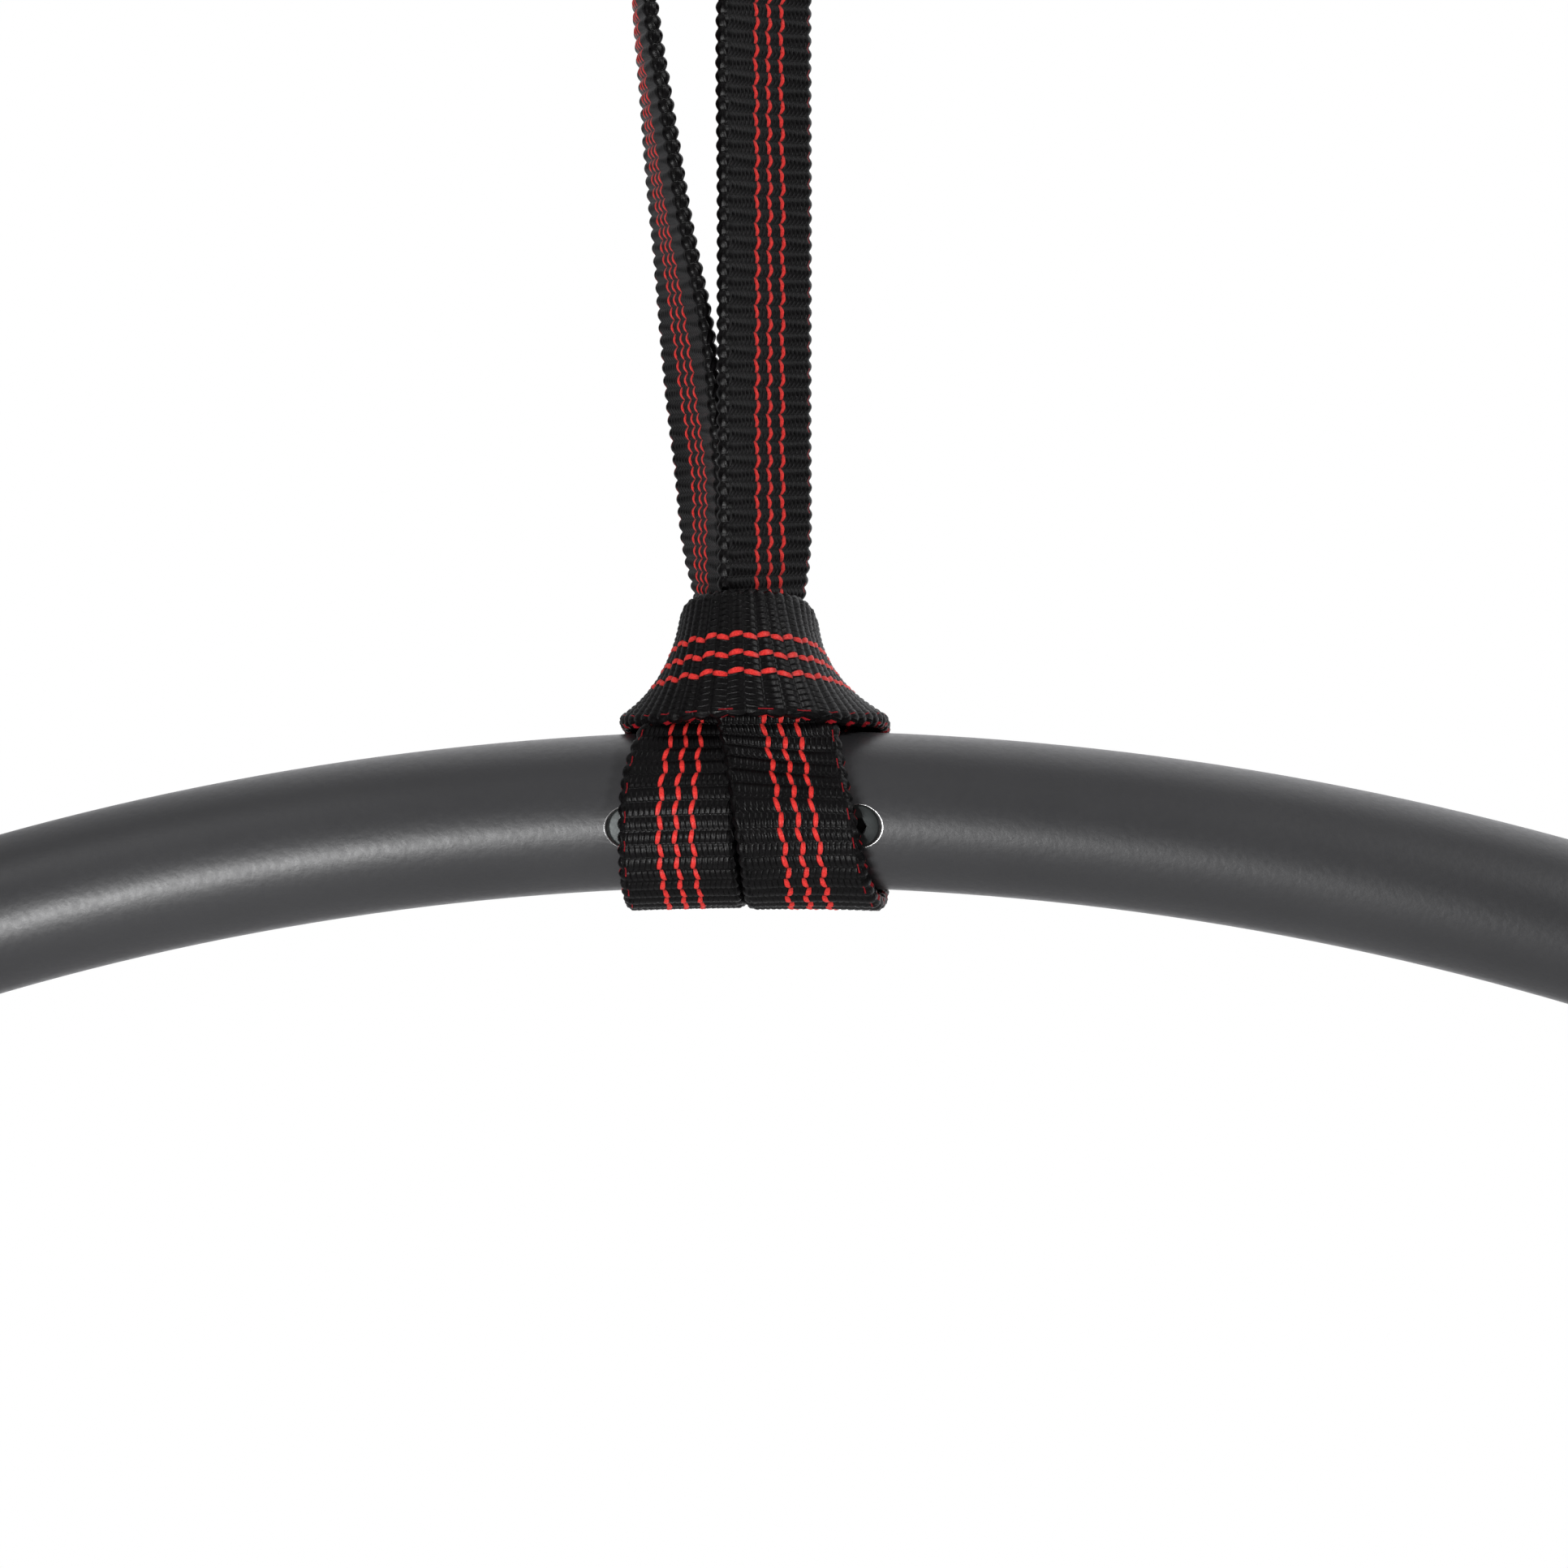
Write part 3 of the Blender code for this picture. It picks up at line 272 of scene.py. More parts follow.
def webbing_material():
    """Warp floats in slanting pairs; three columns and the catch thread of one selvedge are red, with
    painted shade where the red floats dip into the grooves between ribs.
    """
    s = Shader("webbing")
    s.set(Metallic=0.0, Specular_IOR_Level=YARN_SPECULAR)
    calculate = s.calculate
    along = s.add("ShaderNodeAttribute", attribute_name="along").outputs["Fac"]
    across = s.add("ShaderNodeAttribute", attribute_name="across").outputs["Fac"]

    # which rib, and how far along it and across its slanting column
    ribs = calculate("DIVIDE", along, RIB_PITCH)
    rib = calculate("FLOOR", ribs)
    in_rib = calculate("SUBTRACT", calculate("SUBTRACT", ribs, rib), 0.5)
    side = calculate("MULTIPLY_ADD", calculate("FLOORED_MODULO", rib, 2.0), -2.0, 1.0)
    slant = calculate("MULTIPLY_ADD", in_rib, YARN_SLANT, YARN_OFFSET)
    from_middle = calculate("SUBTRACT", across, RED_MIDDLE)
    shifted = calculate("SUBTRACT", from_middle, calculate("MULTIPLY", side, slant))
    place = calculate("DIVIDE", shifted, COLUMN_PITCH)
    column = calculate("ROUND", place)
    local = calculate("SUBTRACT", place, column)

    # a float is round across and swells towards its middle
    bell = calculate("COSINE", calculate("MULTIPLY", in_rib, FLOAT_SPAN))
    length = calculate("POWER", calculate("MAXIMUM", bell, 0.0), FLOAT_BLUNTNESS)
    reach = calculate("SUBTRACT", 1.0, calculate("POWER", calculate("MULTIPLY", local, 2.0), 2.0))
    cap = calculate("SQRT", calculate("MAXIMUM", reach, 0.0))
    float_height = calculate("MULTIPLY", cap, length)

    # the red columns, and the dashes of the catch thread
    from_red = calculate("ABSOLUTE", column)
    in_group = calculate("LESS_THAN", from_red, RED_SPACING + 0.5)
    on_red = calculate("LESS_THAN", calculate("FLOORED_MODULO", from_red, RED_SPACING), 0.5)
    half_width = calculate("MULTIPLY_ADD", length, FLOAT_BELLY, FLOAT_WAIST)
    inside = calculate("LESS_THAN", calculate("ABSOLUTE", local), half_width)
    on_float = calculate("GREATER_THAN", length, FLOAT_END)
    red_yarn = calculate("MULTIPLY", in_group, on_red)
    lines = calculate("MULTIPLY", calculate("MULTIPLY", red_yarn, inside), on_float)
    step = calculate("FLOORED_MODULO", calculate("DIVIDE", along, 2.0 * RIB_PITCH), 1.0)
    from_dash = calculate("ABSOLUTE", calculate("SUBTRACT", step, 0.5))
    on_edge = calculate("MULTIPLY", calculate("GREATER_THAN", across, CATCH_LOW),
                        calculate("LESS_THAN", across, CATCH_HIGH))
    catch = calculate("MULTIPLY", calculate("LESS_THAN", from_dash, CATCH_HALF_DASH), on_edge)

    wander = s.noise(YARN_WANDER_SCALE, 3.0)
    fibre = s.noise(FIBRE_SCALE, 3.0, 0.6)
    black = s.mix(s.spread(wander, 0.0, 1.0), YARN_BLACK_DARK, YARN_BLACK_LIGHT)
    reds = s.mix(s.spread(fibre, 0.0, 1.0), YARN_RED_DARK, YARN_RED_LIGHT)
    # painted shade: the red floats darken towards their low ends, where they dip into the grooves
    reds = s.mix(s.remap(float_height, *PAINTED_SHADE_RANGE, PAINTED_SHADE_LEAST, 1.0), YARN_RED_PAINTED_SHADE, reds)
    reds = s.mix(catch, reds, CATCH_RED)
    s.drive("Base Color", s.mix(calculate("MAXIMUM", lines, catch), black, reds))
    s.drive("Roughness", s.spread(fibre, *YARN_ROUGHNESS))
    s.drive("Normal", s.bump(fibre, *FIBRE_BUMP, s.bump(float_height, *YARN_BUMP)))
    return s.material


def metal_material(name, light, dark, roughness, scale, stretch=(1.0, 1.0, 1.0), metallic=1.0):
    """Metal with worn patches and a finer grain, stretched along the way it was worked."""
    s = Shader(name)
    s.set(Metallic=metallic)
    wear = s.noise(scale, 4.0, METAL_WEAR_ROUGHNESS, stretch)
    fine = s.noise(scale * METAL_FINE_RATIO, 3.0, METAL_WEAR_ROUGHNESS, stretch)
    s.drive("Base Color", s.mix(s.spread(wear, 0.0, 1.0), dark, light))
    s.drive("Roughness", s.remap(fine, *METAL_FINE_RANGE, *roughness))
    s.drive("Normal", s.bump(fine, *METAL_BUMP))
    return s.material


def thread_material():
    s = Shader("red_thread")
    s.set(Metallic=0.0, Sheen_Weight=0.1)
    twist = s.noise(THREAD_TWIST_SCALE, 2.0)
    s.drive("Base Color", s.mix(twist, THREAD_DARK, THREAD_LIGHT))
    s.drive("Roughness", s.spread(twist, *THREAD_ROUGHNESS))
    s.drive("Normal", s.bump(twist, *THREAD_BUMP))
    return s.material


POWDER = powder_coat()
WEBBING = webbing_material()
THREAD = thread_material()
STEEL = metal_material("machined_steel", light=(0.52, 0.52, 0.53), dark=(0.40, 0.40, 0.41),
                       roughness=(0.25, 0.42), scale=300.0, stretch=(1.0, 1.0, 6.0))
BARE = metal_material("bare_edge", light=(0.42, 0.42, 0.42), dark=(0.20, 0.20, 0.20),
                      roughness=(0.34, 0.50), scale=900.0)
BLACK_SCREW = metal_material("black_oxide", light=(0.030, 0.034, 0.034), dark=(0.018, 0.021, 0.021),
                             roughness=(0.36, 0.50), scale=600.0, metallic=0.55)
ALLOY = metal_material("polished_alloy", light=(0.62, 0.63, 0.65), dark=(0.50, 0.51, 0.53),
                       roughness=(0.20, 0.34), scale=160.0)
DARK_ALLOY = metal_material("dark_anodised", light=(0.060, 0.062, 0.068), dark=(0.040, 0.042, 0.046),
                            roughness=(0.28, 0.42), scale=260.0, metallic=0.8)


# ------------------------------------------------------------------ helpers
def link_mesh(name, mesh, material, smooth=True):
    item = bpy.data.objects.new(name, mesh)
    bpy.context.scene.collection.objects.link(item)
    mesh.materials.append(material)
    if smooth:
        mesh.shade_smooth()
    return item


def grid_mesh(name, rows, loop=False):
    """Mesh from an array of closed rings (ring, point, xyz), capped at both ends unless it loops."""
    ring_count, point_count, _ = rows.shape
    index = np.arange(ring_count * point_count).reshape(ring_count, point_count)
    low = index if loop else index[:-1]
    high = np.roll(index, -1, axis=0) if loop else index[1:]
    quads = np.stack([low, np.roll(low, -1, axis=1), np.roll(high, -1, axis=1), high], axis=-1)
    quads = quads.reshape(-1, 4)
    mesh = bpy.data.meshes.new(name)
    ends = 0 if loop else 2
    loop_count = quads.size + ends * point_count
    mesh.vertices.add(ring_count * point_count)
    mesh.vertices.foreach_set("co", rows.reshape(-1).astype(np.float32))
    corners = [quads.reshape(-1)]
    starts = [np.arange(len(quads)) * 4]
    if ends:
        corners += [index[0][::-1], index[-1]]
        starts.append(np.array([quads.size, quads.size + point_count]))
    mesh.loops.add(loop_count)
    mesh.loops.foreach_set("vertex_index", np.concatenate(corners).astype(np.int32))
    mesh.polygons.add(len(quads) + ends)
    mesh.polygons.foreach_set("loop_start", np.concatenate(starts).astype(np.int32))
    mesh.update(calc_edges=True)
    mesh.validate()
    return mesh


def apply_modifiers(item):
    """Give the item the mesh that its modifiers make of it."""
    graph = bpy.context.evaluated_depsgraph_get()
    done = bpy.data.meshes.new_from_object(item.evaluated_get(graph))
    item.modifiers.clear()
    old = item.data
    item.data = done
    bpy.data.meshes.remove(old)


def outward_normals(mesh):
    shape = bmesh.new()
    shape.from_mesh(mesh)
    bmesh.ops.recalc_face_normals(shape, faces=shape.faces)
    shape.to_mesh(mesh)
    shape.free()


def spline_matrix(knots, wanted):
    """Weights that turn values at knots into a natural cubic spline's values at wanted places."""
    n = len(knots)
    h = np.diff(knots)
    system = np.zeros((n, n))
    right = np.zeros((n, n))
    system[0, 0] = system[-1, -1] = 1.0
    for i in range(1, n - 1):
        system[i, i - 1] = h[i - 1]
        system[i, i] = 2.0 * (h[i - 1] + h[i])
        system[i, i + 1] = h[i]
        right[i, i - 1] = 6.0 / h[i - 1]
        right[i, i] = -6.0 / h[i - 1] - 6.0 / h[i]
        right[i, i + 1] = 6.0 / h[i]
    bend = np.linalg.solve(system, right)
    cell = np.clip(np.searchsorted(knots, wanted) - 1, 0, n - 2)
    a = (knots[cell + 1] - wanted) / h[cell]
    b = 1.0 - a
    rows = np.arange(len(wanted))
    weights = np.zeros((len(wanted), n))
    weights[rows, cell] += a
    weights[rows, cell + 1] += b
    curve_a = ((a ** 3 - a) * h[cell] ** 2 / 6.0)[:, None]
    curve_b = ((b ** 3 - b) * h[cell] ** 2 / 6.0)[:, None]
    return weights + curve_a * bend[cell] + curve_b * bend[cell + 1]


# --------------------------------------------------------------------- hoop
HALF_RINGS = 300
TUBE_SIDES = 72
TUBE_WALL = 2.0 * MM
END_CHAMFER = 0.25 * MM
BUTT_GAP = 0.3 * MM
SCREW_OFFSET = 18.1 * MM
SCREW_TILT = math.radians(-8.0)
HEAD_RADIUS = 3.45 * MM
HEAD_SINK = 0.6 * MM
CONE_RADIUS = HEAD_RADIUS + 0.05 * MM
CONE_SKIN = 0.03 * MM
CONE_TUCK = 0.1 * MM
CONE_SIDES = 96
CONE_SOLVES = 8
SCREW_FACE = TUBE_RADIUS - HEAD_SINK
SCREW_SIDES = 64
HOOP_SHARP = math.radians(35.0)
ON_AXIS = 1e-7

# Turned profiles of a screw and of what is cut for it: radius, and height from the tube's centre line
HOLE_RADIUS = 2.1 * MM
HOLE_FOOT = 9.0 * MM
CUT_CLEAR = 2.0 * MM
COUNTERSINK_PROFILE = (
    (0.0, HOLE_FOOT), (HOLE_RADIUS, HOLE_FOOT), (HOLE_RADIUS, SCREW_FACE - CONE_RADIUS + HOLE_RADIUS),
    (CONE_RADIUS + CUT_CLEAR, SCREW_FACE + CUT_CLEAR), (0.0, TUBE_RADIUS + CUT_CLEAR))
HEAD_SOFT = 0.15 * MM
HEAD_DEPTH = 1.9 * MM
SHANK_RADIUS = 2.0 * MM
SCREW_LENGTH = 7.4 * MM
SCREW_PROFILE = (
    (0.0, SCREW_FACE), (HEAD_RADIUS - 2.0 * HEAD_SOFT, SCREW_FACE),
    (HEAD_RADIUS - HEAD_SOFT, SCREW_FACE - 0.3 * HEAD_SOFT),
    (HEAD_RADIUS - 0.3 * HEAD_SOFT, SCREW_FACE - HEAD_SOFT), (SHANK_RADIUS, SCREW_FACE - HEAD_DEPTH),
    (SHANK_RADIUS, SCREW_FACE - SCREW_LENGTH), (0.0, SCREW_FACE - SCREW_LENGTH))
SOCKET_RADIUS = 1.45 * MM
SOCKET_FLOOR = SCREW_FACE - 1.3 * MM
SOCKET_TOP = SCREW_FACE + 1.0 * MM
SOCKET_SIDES = 6
SOCKET_PROFILE = (
    (0.0, SOCKET_FLOOR), (SOCKET_RADIUS, SOCKET_FLOOR), (SOCKET_RADIUS, SOCKET_TOP), (0.0, SOCKET_TOP))


def hoop_ring(angles, radii):
    """Rings of a round section bent round the hoop; angle 0 is the top, towards +X."""
    turn = np.linspace(0.0, math.tau, TUBE_SIDES, endpoint=False)
    radial = HOOP_RADIUS + radii[:, None] * np.cos(turn)[None, :]
    y = radii[:, None] * np.sin(turn)[None, :]
    x = np.sin(angles)[:, None] * radial
    z = HOOP_CENTRE_Z + np.cos(angles)[:, None] * radial
    return np.stack([x, y, z], -1)


def screw_frame(at_top, side):
    """Centre line point of the tube and outward direction of one joint screw."""
    base, way = (0.0, 1.0) if at_top else (math.pi, -1.0)
    angle = base + side * SCREW_OFFSET / HOOP_RADIUS * way
    radial = Vector((math.sin(angle), 0.0, math.cos(angle)))
    centre = Vector((0.0, 0.0, HOOP_CENTRE_Z)) + radial * HOOP_RADIUS
    lean = way * SCREW_TILT
    return centre, Vector((0.0, -math.cos(lean), 0.0)) + radial * math.sin(lean)


def screw_matrix(at_top, side):
    centre, outward = screw_frame(at_top, side)
    turn = Vector((0.0, 0.0, 1.0)).rotation_difference(outward).to_matrix().to_4x4()
    return Matrix.Translation(centre) @ turn


def lathe_mesh(name, profile, sides):
    """Solid of revolution about +Z from (radius, height) points that start and end on the axis."""
    shape = bmesh.new()
    turn = [math.tau * i / sides for i in range(sides)]
    rings = []
    for radius, height in profile:
        points = [(radius * math.cos(a), radius * math.sin(a), height) for a in turn]
        if radius < ON_AXIS:
            points = [(0.0, 0.0, height)]
        rings.append([shape.verts.new(point) for point in points])
    for low, high in zip(rings, rings[1:]):
        for i in range(sides):
            j = (i + 1) % sides
            ring = [low[i % len(low)], low[j % len(low)], high[j % len(high)], high[i % len(high)]]
            unique = list(dict.fromkeys(ring))
            if len(unique) > 2:
                shape.faces.new(unique)
    bmesh.ops.recalc_face_normals(shape, faces=shape.faces)
    mesh = bpy.data.meshes.new(name)
    shape.to_mesh(mesh)
    shape.free()
    return mesh


def lathe_cutter(profile, sides, material):
    return link_mesh("cutter", lathe_mesh("cutter", profile, sides), material)


def cut(item, cutters):
    """Apply boolean cuts at once and drop the cutters."""
    for cutter in cutters:
        step = item.modifiers.new("cut", "BOOLEAN")
        step.object = cutter
        step.operation = "DIFFERENCE"
        step.solver = "EXACT"
    apply_modifiers(item)
    for cutter in cutters:
        bpy.data.objects.remove(cutter)


def make_hoop():
    for name, side in (("hoop_right_half", 1.0), ("hoop_left_half", -1.0)):
        start = BUTT_GAP / 2.0 / HOOP_RADIUS
        lip = END_CHAMFER / HOOP_RADIUS
        inner_angles = np.linspace(start + lip, math.pi - start - lip, HALF_RINGS)
        angles = side * np.concatenate([[start], inner_angles, [math.pi - start]])
        outer = np.full(len(angles), TUBE_RADIUS)
        outer[[0, -1]] -= END_CHAMFER
        bore = np.full(len(angles), TUBE_RADIUS - TUBE_WALL)
        rings = np.concatenate([hoop_ring(angles, outer), hoop_ring(angles[::-1], bore)])
        mesh = grid_mesh(name + "_tube", rings, loop=True)
        outward_normals(mesh)
        item = link_mesh(name + "_tube", mesh, POWDER)
        cutters = []
        for at_top in (True, False):
            cutter = lathe_cutter(COUNTERSINK_PROFILE, SCREW_SIDES, POWDER)
            cutter.matrix_world = screw_matrix(at_top, side)
            cutters.append(cutter)
        bpy.context.view_layer.update()
        cut(item, cutters)
        item.data.set_sharp_from_angle(angle=HOOP_SHARP)
        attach(item, "hoop")
        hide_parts(name)


def make_screws():
    for at_top, where in ((True, "top"), (False, "bottom")):
        for side, side_name in ((-1.0, "left"), (1.0, "right")):
            place = screw_matrix(at_top, side)
            name = "screw_%s_%s" % (where, side_name)
            mesh = lathe_mesh(name + "_fine", SCREW_PROFILE, SCREW_SIDES)
            item = link_mesh(name + "_fine", mesh, BLACK_SCREW)
            cut(item, [lathe_cutter(SOCKET_PROFILE, SOCKET_SIDES, BLACK_SCREW)])
            item.data.transform(place)
            item.data.set_sharp_from_angle(angle=HOOP_SHARP)
            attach(item, "hoop")
            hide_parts(name)
            make_bare_cone("bare_cone_%s_%s" % (where, side_name), place)


def make_bare_cone(name, place):
    """Thin bare face of the countersink, from the screw's head out to where the cone meets the tube."""
    rings = []
    axis = Vector((0.0, 0.0, 1.0))
    across = place.to_3x3().inverted() @ axis
    across = Vector((across.x, across.y, 0.0)).normalized()
    for i in range(CONE_SIDES):
        a = math.tau * i / CONE_SIDES
        outward = Vector((math.cos(a), math.sin(a), 0.0))
        edge = CONE_RADIUS
        for _ in range(CONE_SOLVES):
            lateral = edge * outward.dot(across)
            edge = CONE_RADIUS + math.sqrt(TUBE_RADIUS ** 2 - lateral ** 2) - SCREW_FACE
        inner = outward * (CONE_RADIUS - CONE_TUCK) + axis * (SCREW_FACE - CONE_TUCK)
        outer = outward * edge + axis * (edge - CONE_RADIUS + SCREW_FACE)
        skin = (axis - outward) * (CONE_SKIN * math.sqrt(0.5))
        rings.append([inner + skin, outer + skin, outer, inner])
    mesh = grid_mesh(name, np.array([[tuple(p) for p in ring] for ring in rings]), loop=True)
    item = link_mesh(name, mesh, BARE, smooth=False)
    mesh.transform(place)
    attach(item, "hoop")


# ------------------------------------------------------------------ webbing
HALF_THICKNESS = 0.85
COLUMN_COUNT = 19
FRONT_SAMPLES = 5
BACK_SAMPLES = 3
EDGE_SAMPLES = 9
RIB_SAMPLES = 8
BASE_PLACES = 39
DENSE_PLACES = 6000
BELL_SPAN = math.pi * 0.97
BELL_BLUNTNESS = 0.7
SWELL_BLUNTNESS = 0.8
WRAP = 14.15
EDGE_LIFT_REACH = 0.75
EDGE_LIFT_POWER = 1.5

# Stations in millimetres from the tube's centre at the hitch: plain edge, red edge, and how far the
# middle bows out of the straight line between them.
RIGHT_LEG = (
    ((-2.7, -7.2, 126.0), (10.0, 7.2, 126.0), (-0.3, 0.0, 0.0)),
    ((-2.9, -7.2, 100.0), (9.8, 7.2, 100.0), (-0.3, 0.0, 0.0)),
    ((-3.2, -7.2, 74.0), (9.5, 7.2, 74.0), (-0.3, 0.0, 0.0)),
    ((-3.4, -7.1, 50.0), (9.3, 7.1, 50.0), (-0.3, 0.0, 0.0)),
    ((-3.5, -7.0, 38.0), (8.8, 6.4, 38.0), (-0.1, -0.2, 0.0)),
    ((-3.6, -7.7, 30.0), (8.0, 4.2, 30.5), (0.3, -0.4, 0.0)),
    ((-3.8, -9.6, 23.0), (9.8, 0.0, 24.5), (0.4, -0.4, 0.0)),
    ((-4.0, -12.2, 17.0), (13.4, -6.8, 18.2), (0.2, -0.4, 0.0)),
)
LEFT_LEG = (
    ((-13.4, -9.5, 129.0), (-17.0, 9.2, 129.0), (-0.5, 0.0, 0.0)),
    ((-11.8, -8.5, 116.0), (-16.4, 10.0, 116.0), (-0.5, 0.0, 0.0)),
    ((-9.9, -7.4, 103.0), (-15.8, 10.8, 103.0), (-0.3, 0.0, 0.0)),
    ((-7.9, -6.3, 90.0), (-14.9, 11.5, 90.0), (0.0, 0.0, 0.0)),
    ((-5.4, -5.1, 77.0), (-14.2, 12.2, 77.0), (0.2, 0.0, 0.0)),
    ((-4.3, -3.6, 64.0), (-13.4, 13.6, 64.0), (0.7, 0.0, 0.0)),
    ((-3.7, -2.4, 52.0), (-12.3, 14.8, 52.0), (1.1, 0.0, 0.0)),
    ((-3.2, -1.9, 40.0), (-10.7, 13.6, 40.5), (0.0, 0.0, 0.0)),
    ((-2.9, -2.8, 29.0), (-8.0, 6.0, 30.5), (-0.8, 0.0, 0.0)),
    ((-3.2, -6.2, 20.5), (-11.0, -1.4, 21.5), (-0.6, -0.4, 0.0)),
)
COLLAR = (
    ((-2.6, 14.6, 12.0), (-20.6, 12.6, 7.0), (0.0, 0.6, 0.3)),
    ((-5.7, 13.0, 22.0), (-21.0, 7.6, 12.0), (0.7, 0.6, -0.4)),
    ((-9.4, 5.4, 29.0), (-20.4, 0.6, 13.4), (1.7, 0.2, -0.6)),
    ((-8.7, -1.8, 33.0), (-16.0, -7.2, 13.8), (1.3, -0.2, -0.4)),
    ((-5.0, -7.8, 34.6), (-8.6, -14.0, 14.9), (0.5, -0.9, -0.1)),
    ((0.2, -9.9, 35.0), (1.2, -16.6, 15.8), (0.0, -1.2, 0.0)),
    ((5.0, -7.8, 34.6), (11.0, -13.8, 14.9), (-0.6, -0.9, -0.1)),
    ((8.5, -1.8, 33.2), (17.2, -6.8, 13.8), (-1.9, -0.2, -0.3)),
    ((9.3, 5.4, 29.2), (20.9, 0.6, 13.4), (-2.3, 0.2, -0.6)),
    ((6.0, 13.0, 22.2), (21.8, 7.6, 12.0), (-0.8, 0.6, -0.4)),
    ((2.4, 14.6, 12.0), (21.0, 12.6, 7.0), (0.0, 0.6, 0.3)),
)
# Turns round the tube: angle below the front in degrees, plain edge x, red edge x, lift of the plain
# edge, lift of the whole strap, and how far the middle is drawn sideways
RIGHT_TURN = (
    (-45.0, -3.4, 15.4, 2.0, 0.0, 0.3),
    (0.0, -1.3, 17.8, 1.5, 0.0, 0.1),
    (45.0, -0.3, 19.8, 0.8, 0.2, -0.3),
    (75.0, -0.2, 21.4, 0.3, 0.5, -1.1),
    (110.0, 0.6, 21.6, 0.0, 0.3, 0.0),
    (145.0, 1.0, 21.4, 0.0, 0.1, 0.0),
    (180.0, 1.2, 21.2, 0.0, 0.0, 0.0),
)
LEFT_TURN = (
    (-45.0, -0.6, -17.8, 0.0, 0.4, 0.2),
    (0.0, -1.0, -19.3, 0.0, 0.0, 0.1),
    (45.0, -0.9, -19.7, 0.0, 0.2, 0.4),
    (75.0, -0.9, -19.7, 0.0, 0.4, 0.5),
    (110.0, -1.0, -20.2, 0.0, 0.3, 0.0),
    (145.0, -1.2, -20.3, 0.0, 0.1, 0.0),
    (180.0, -1.4, -20.6, 0.0, 0.0, 0.0),
)
# Left leg under the carabiner's bar: how far below it, x, and which way the strap faces in degrees
LEFT_HEAD = ((7.0, -7.4, 88.0), (14.0, -8.9, 87.0), (33.0, -12.2, 85.0), (52.0, -14.2, 82.0))
LEFT_HEAD_BOW = (-0.3, 0.0, 0.0)
FLAT = (0.0, 0.0, 0.0)
ROD_DROP = (LOWER_ROD_Z - TUBE_TOP_Z) / MM
ROD_WRAP = 6.75
ROD_STEPS = 8
LEG_TOP = 126.0
LEG_TOP_X = 3.65
LEG_TOP_YAW = 48.5
ROD_YAW = 90.0
SPLICE_LOW = 138.0
SPLICE_HIGH = 188.0
SPLICE_ROWS = 5
SPLICE_LAYER = 3.0
ROW_COLUMNS = 5


def station_row(plain, red, bow):
    """Row of points across the strap, from its plain edge to its red one."""
    share = np.linspace(0.0, 1.0, ROW_COLUMNS)[:, None]
    straight = (1.0 - share) * np.array(plain) + share * np.array(red)
    return straight + 4.0 * share * (1.0 - share) * np.array(bow)


def turn_row(angle, plain_x, red_x, edge_lift, lift, drawn):
    """Row lying on the tube, which falls away on both sides of the hitch along the hoop's own curve."""
    share = np.linspace(0.0, 1.0, ROW_COLUMNS)
    x = plain_x + (red_x - plain_x) * share + 4.0 * share * (1.0 - share) * drawn
    fade = np.clip(1.0 - share / EDGE_LIFT_REACH, 0.0, 1.0) ** EDGE_LIFT_POWER
    reach = WRAP + (lift + edge_lift * fade)
    a = math.radians(angle)
    fall = x ** 2 / (2.0 * HOOP_RADIUS / MM)
    return np.stack([x, -reach * math.cos(a), -reach * math.sin(a) - fall], -1)


def splice_row(height, inside):
    """Row of the upper right leg, which turns edge on by the time it meets the carabiner's bar."""
    share = (height - LEG_TOP) / (ROD_DROP - LEG_TOP)
    ease = share * share * (3.0 - 2.0 * share)
    yaw = math.radians(LEG_TOP_YAW + (ROD_YAW - LEG_TOP_YAW) * ease)
    centre = np.array([LEG_TOP_X + (ROD_WRAP + SPLICE_LAYER - LEG_TOP_X) * ease, 0.0, height])
    outward = np.array([math.sin(yaw), -math.cos(yaw), 0.0])
    width = np.array([math.cos(yaw), math.sin(yaw), 0.0]) * HALF_WIDTH
    centre = centre - outward * SPLICE_LAYER * inside
    return station_row(centre - width, centre + width, FLAT)


def strap_rows():
    """Rows of the whole strap, from the inner end of the splice round to its outer end."""
    lapped = list(np.linspace(SPLICE_LOW, SPLICE_HIGH, SPLICE_ROWS))
    rows = [splice_row(height, 1.0) for height in lapped + [ROD_DROP]]
    for i in range(1, ROD_STEPS):
        a = math.pi * i / ROD_STEPS
        x = ROD_WRAP * math.cos(a)
        z = ROD_DROP + ROD_WRAP * math.sin(a)
        rows.append(station_row((x, -HALF_WIDTH, z), (x, HALF_WIDTH, z), FLAT))
    for below, x, yaw in LEFT_HEAD:
        a = math.radians(yaw)
        width = np.array([-math.cos(a), math.sin(a), 0.0]) * HALF_WIDTH
        centre = np.array([x, 0.0, ROD_DROP - below])
        rows.append(station_row(centre - width, centre + width, LEFT_HEAD_BOW))
    rows += [station_row(*station) for station in LEFT_LEG]
    rows += [turn_row(*station) for station in LEFT_TURN]
    rows += [station_row(*station) for station in COLLAR]
    rows += [turn_row(*station) for station in reversed(RIGHT_TURN)]
    rows += [station_row(*station) for station in reversed(RIGHT_LEG)]
    rows += [splice_row(height, 0.0) for height in lapped]
    return np.array(rows)


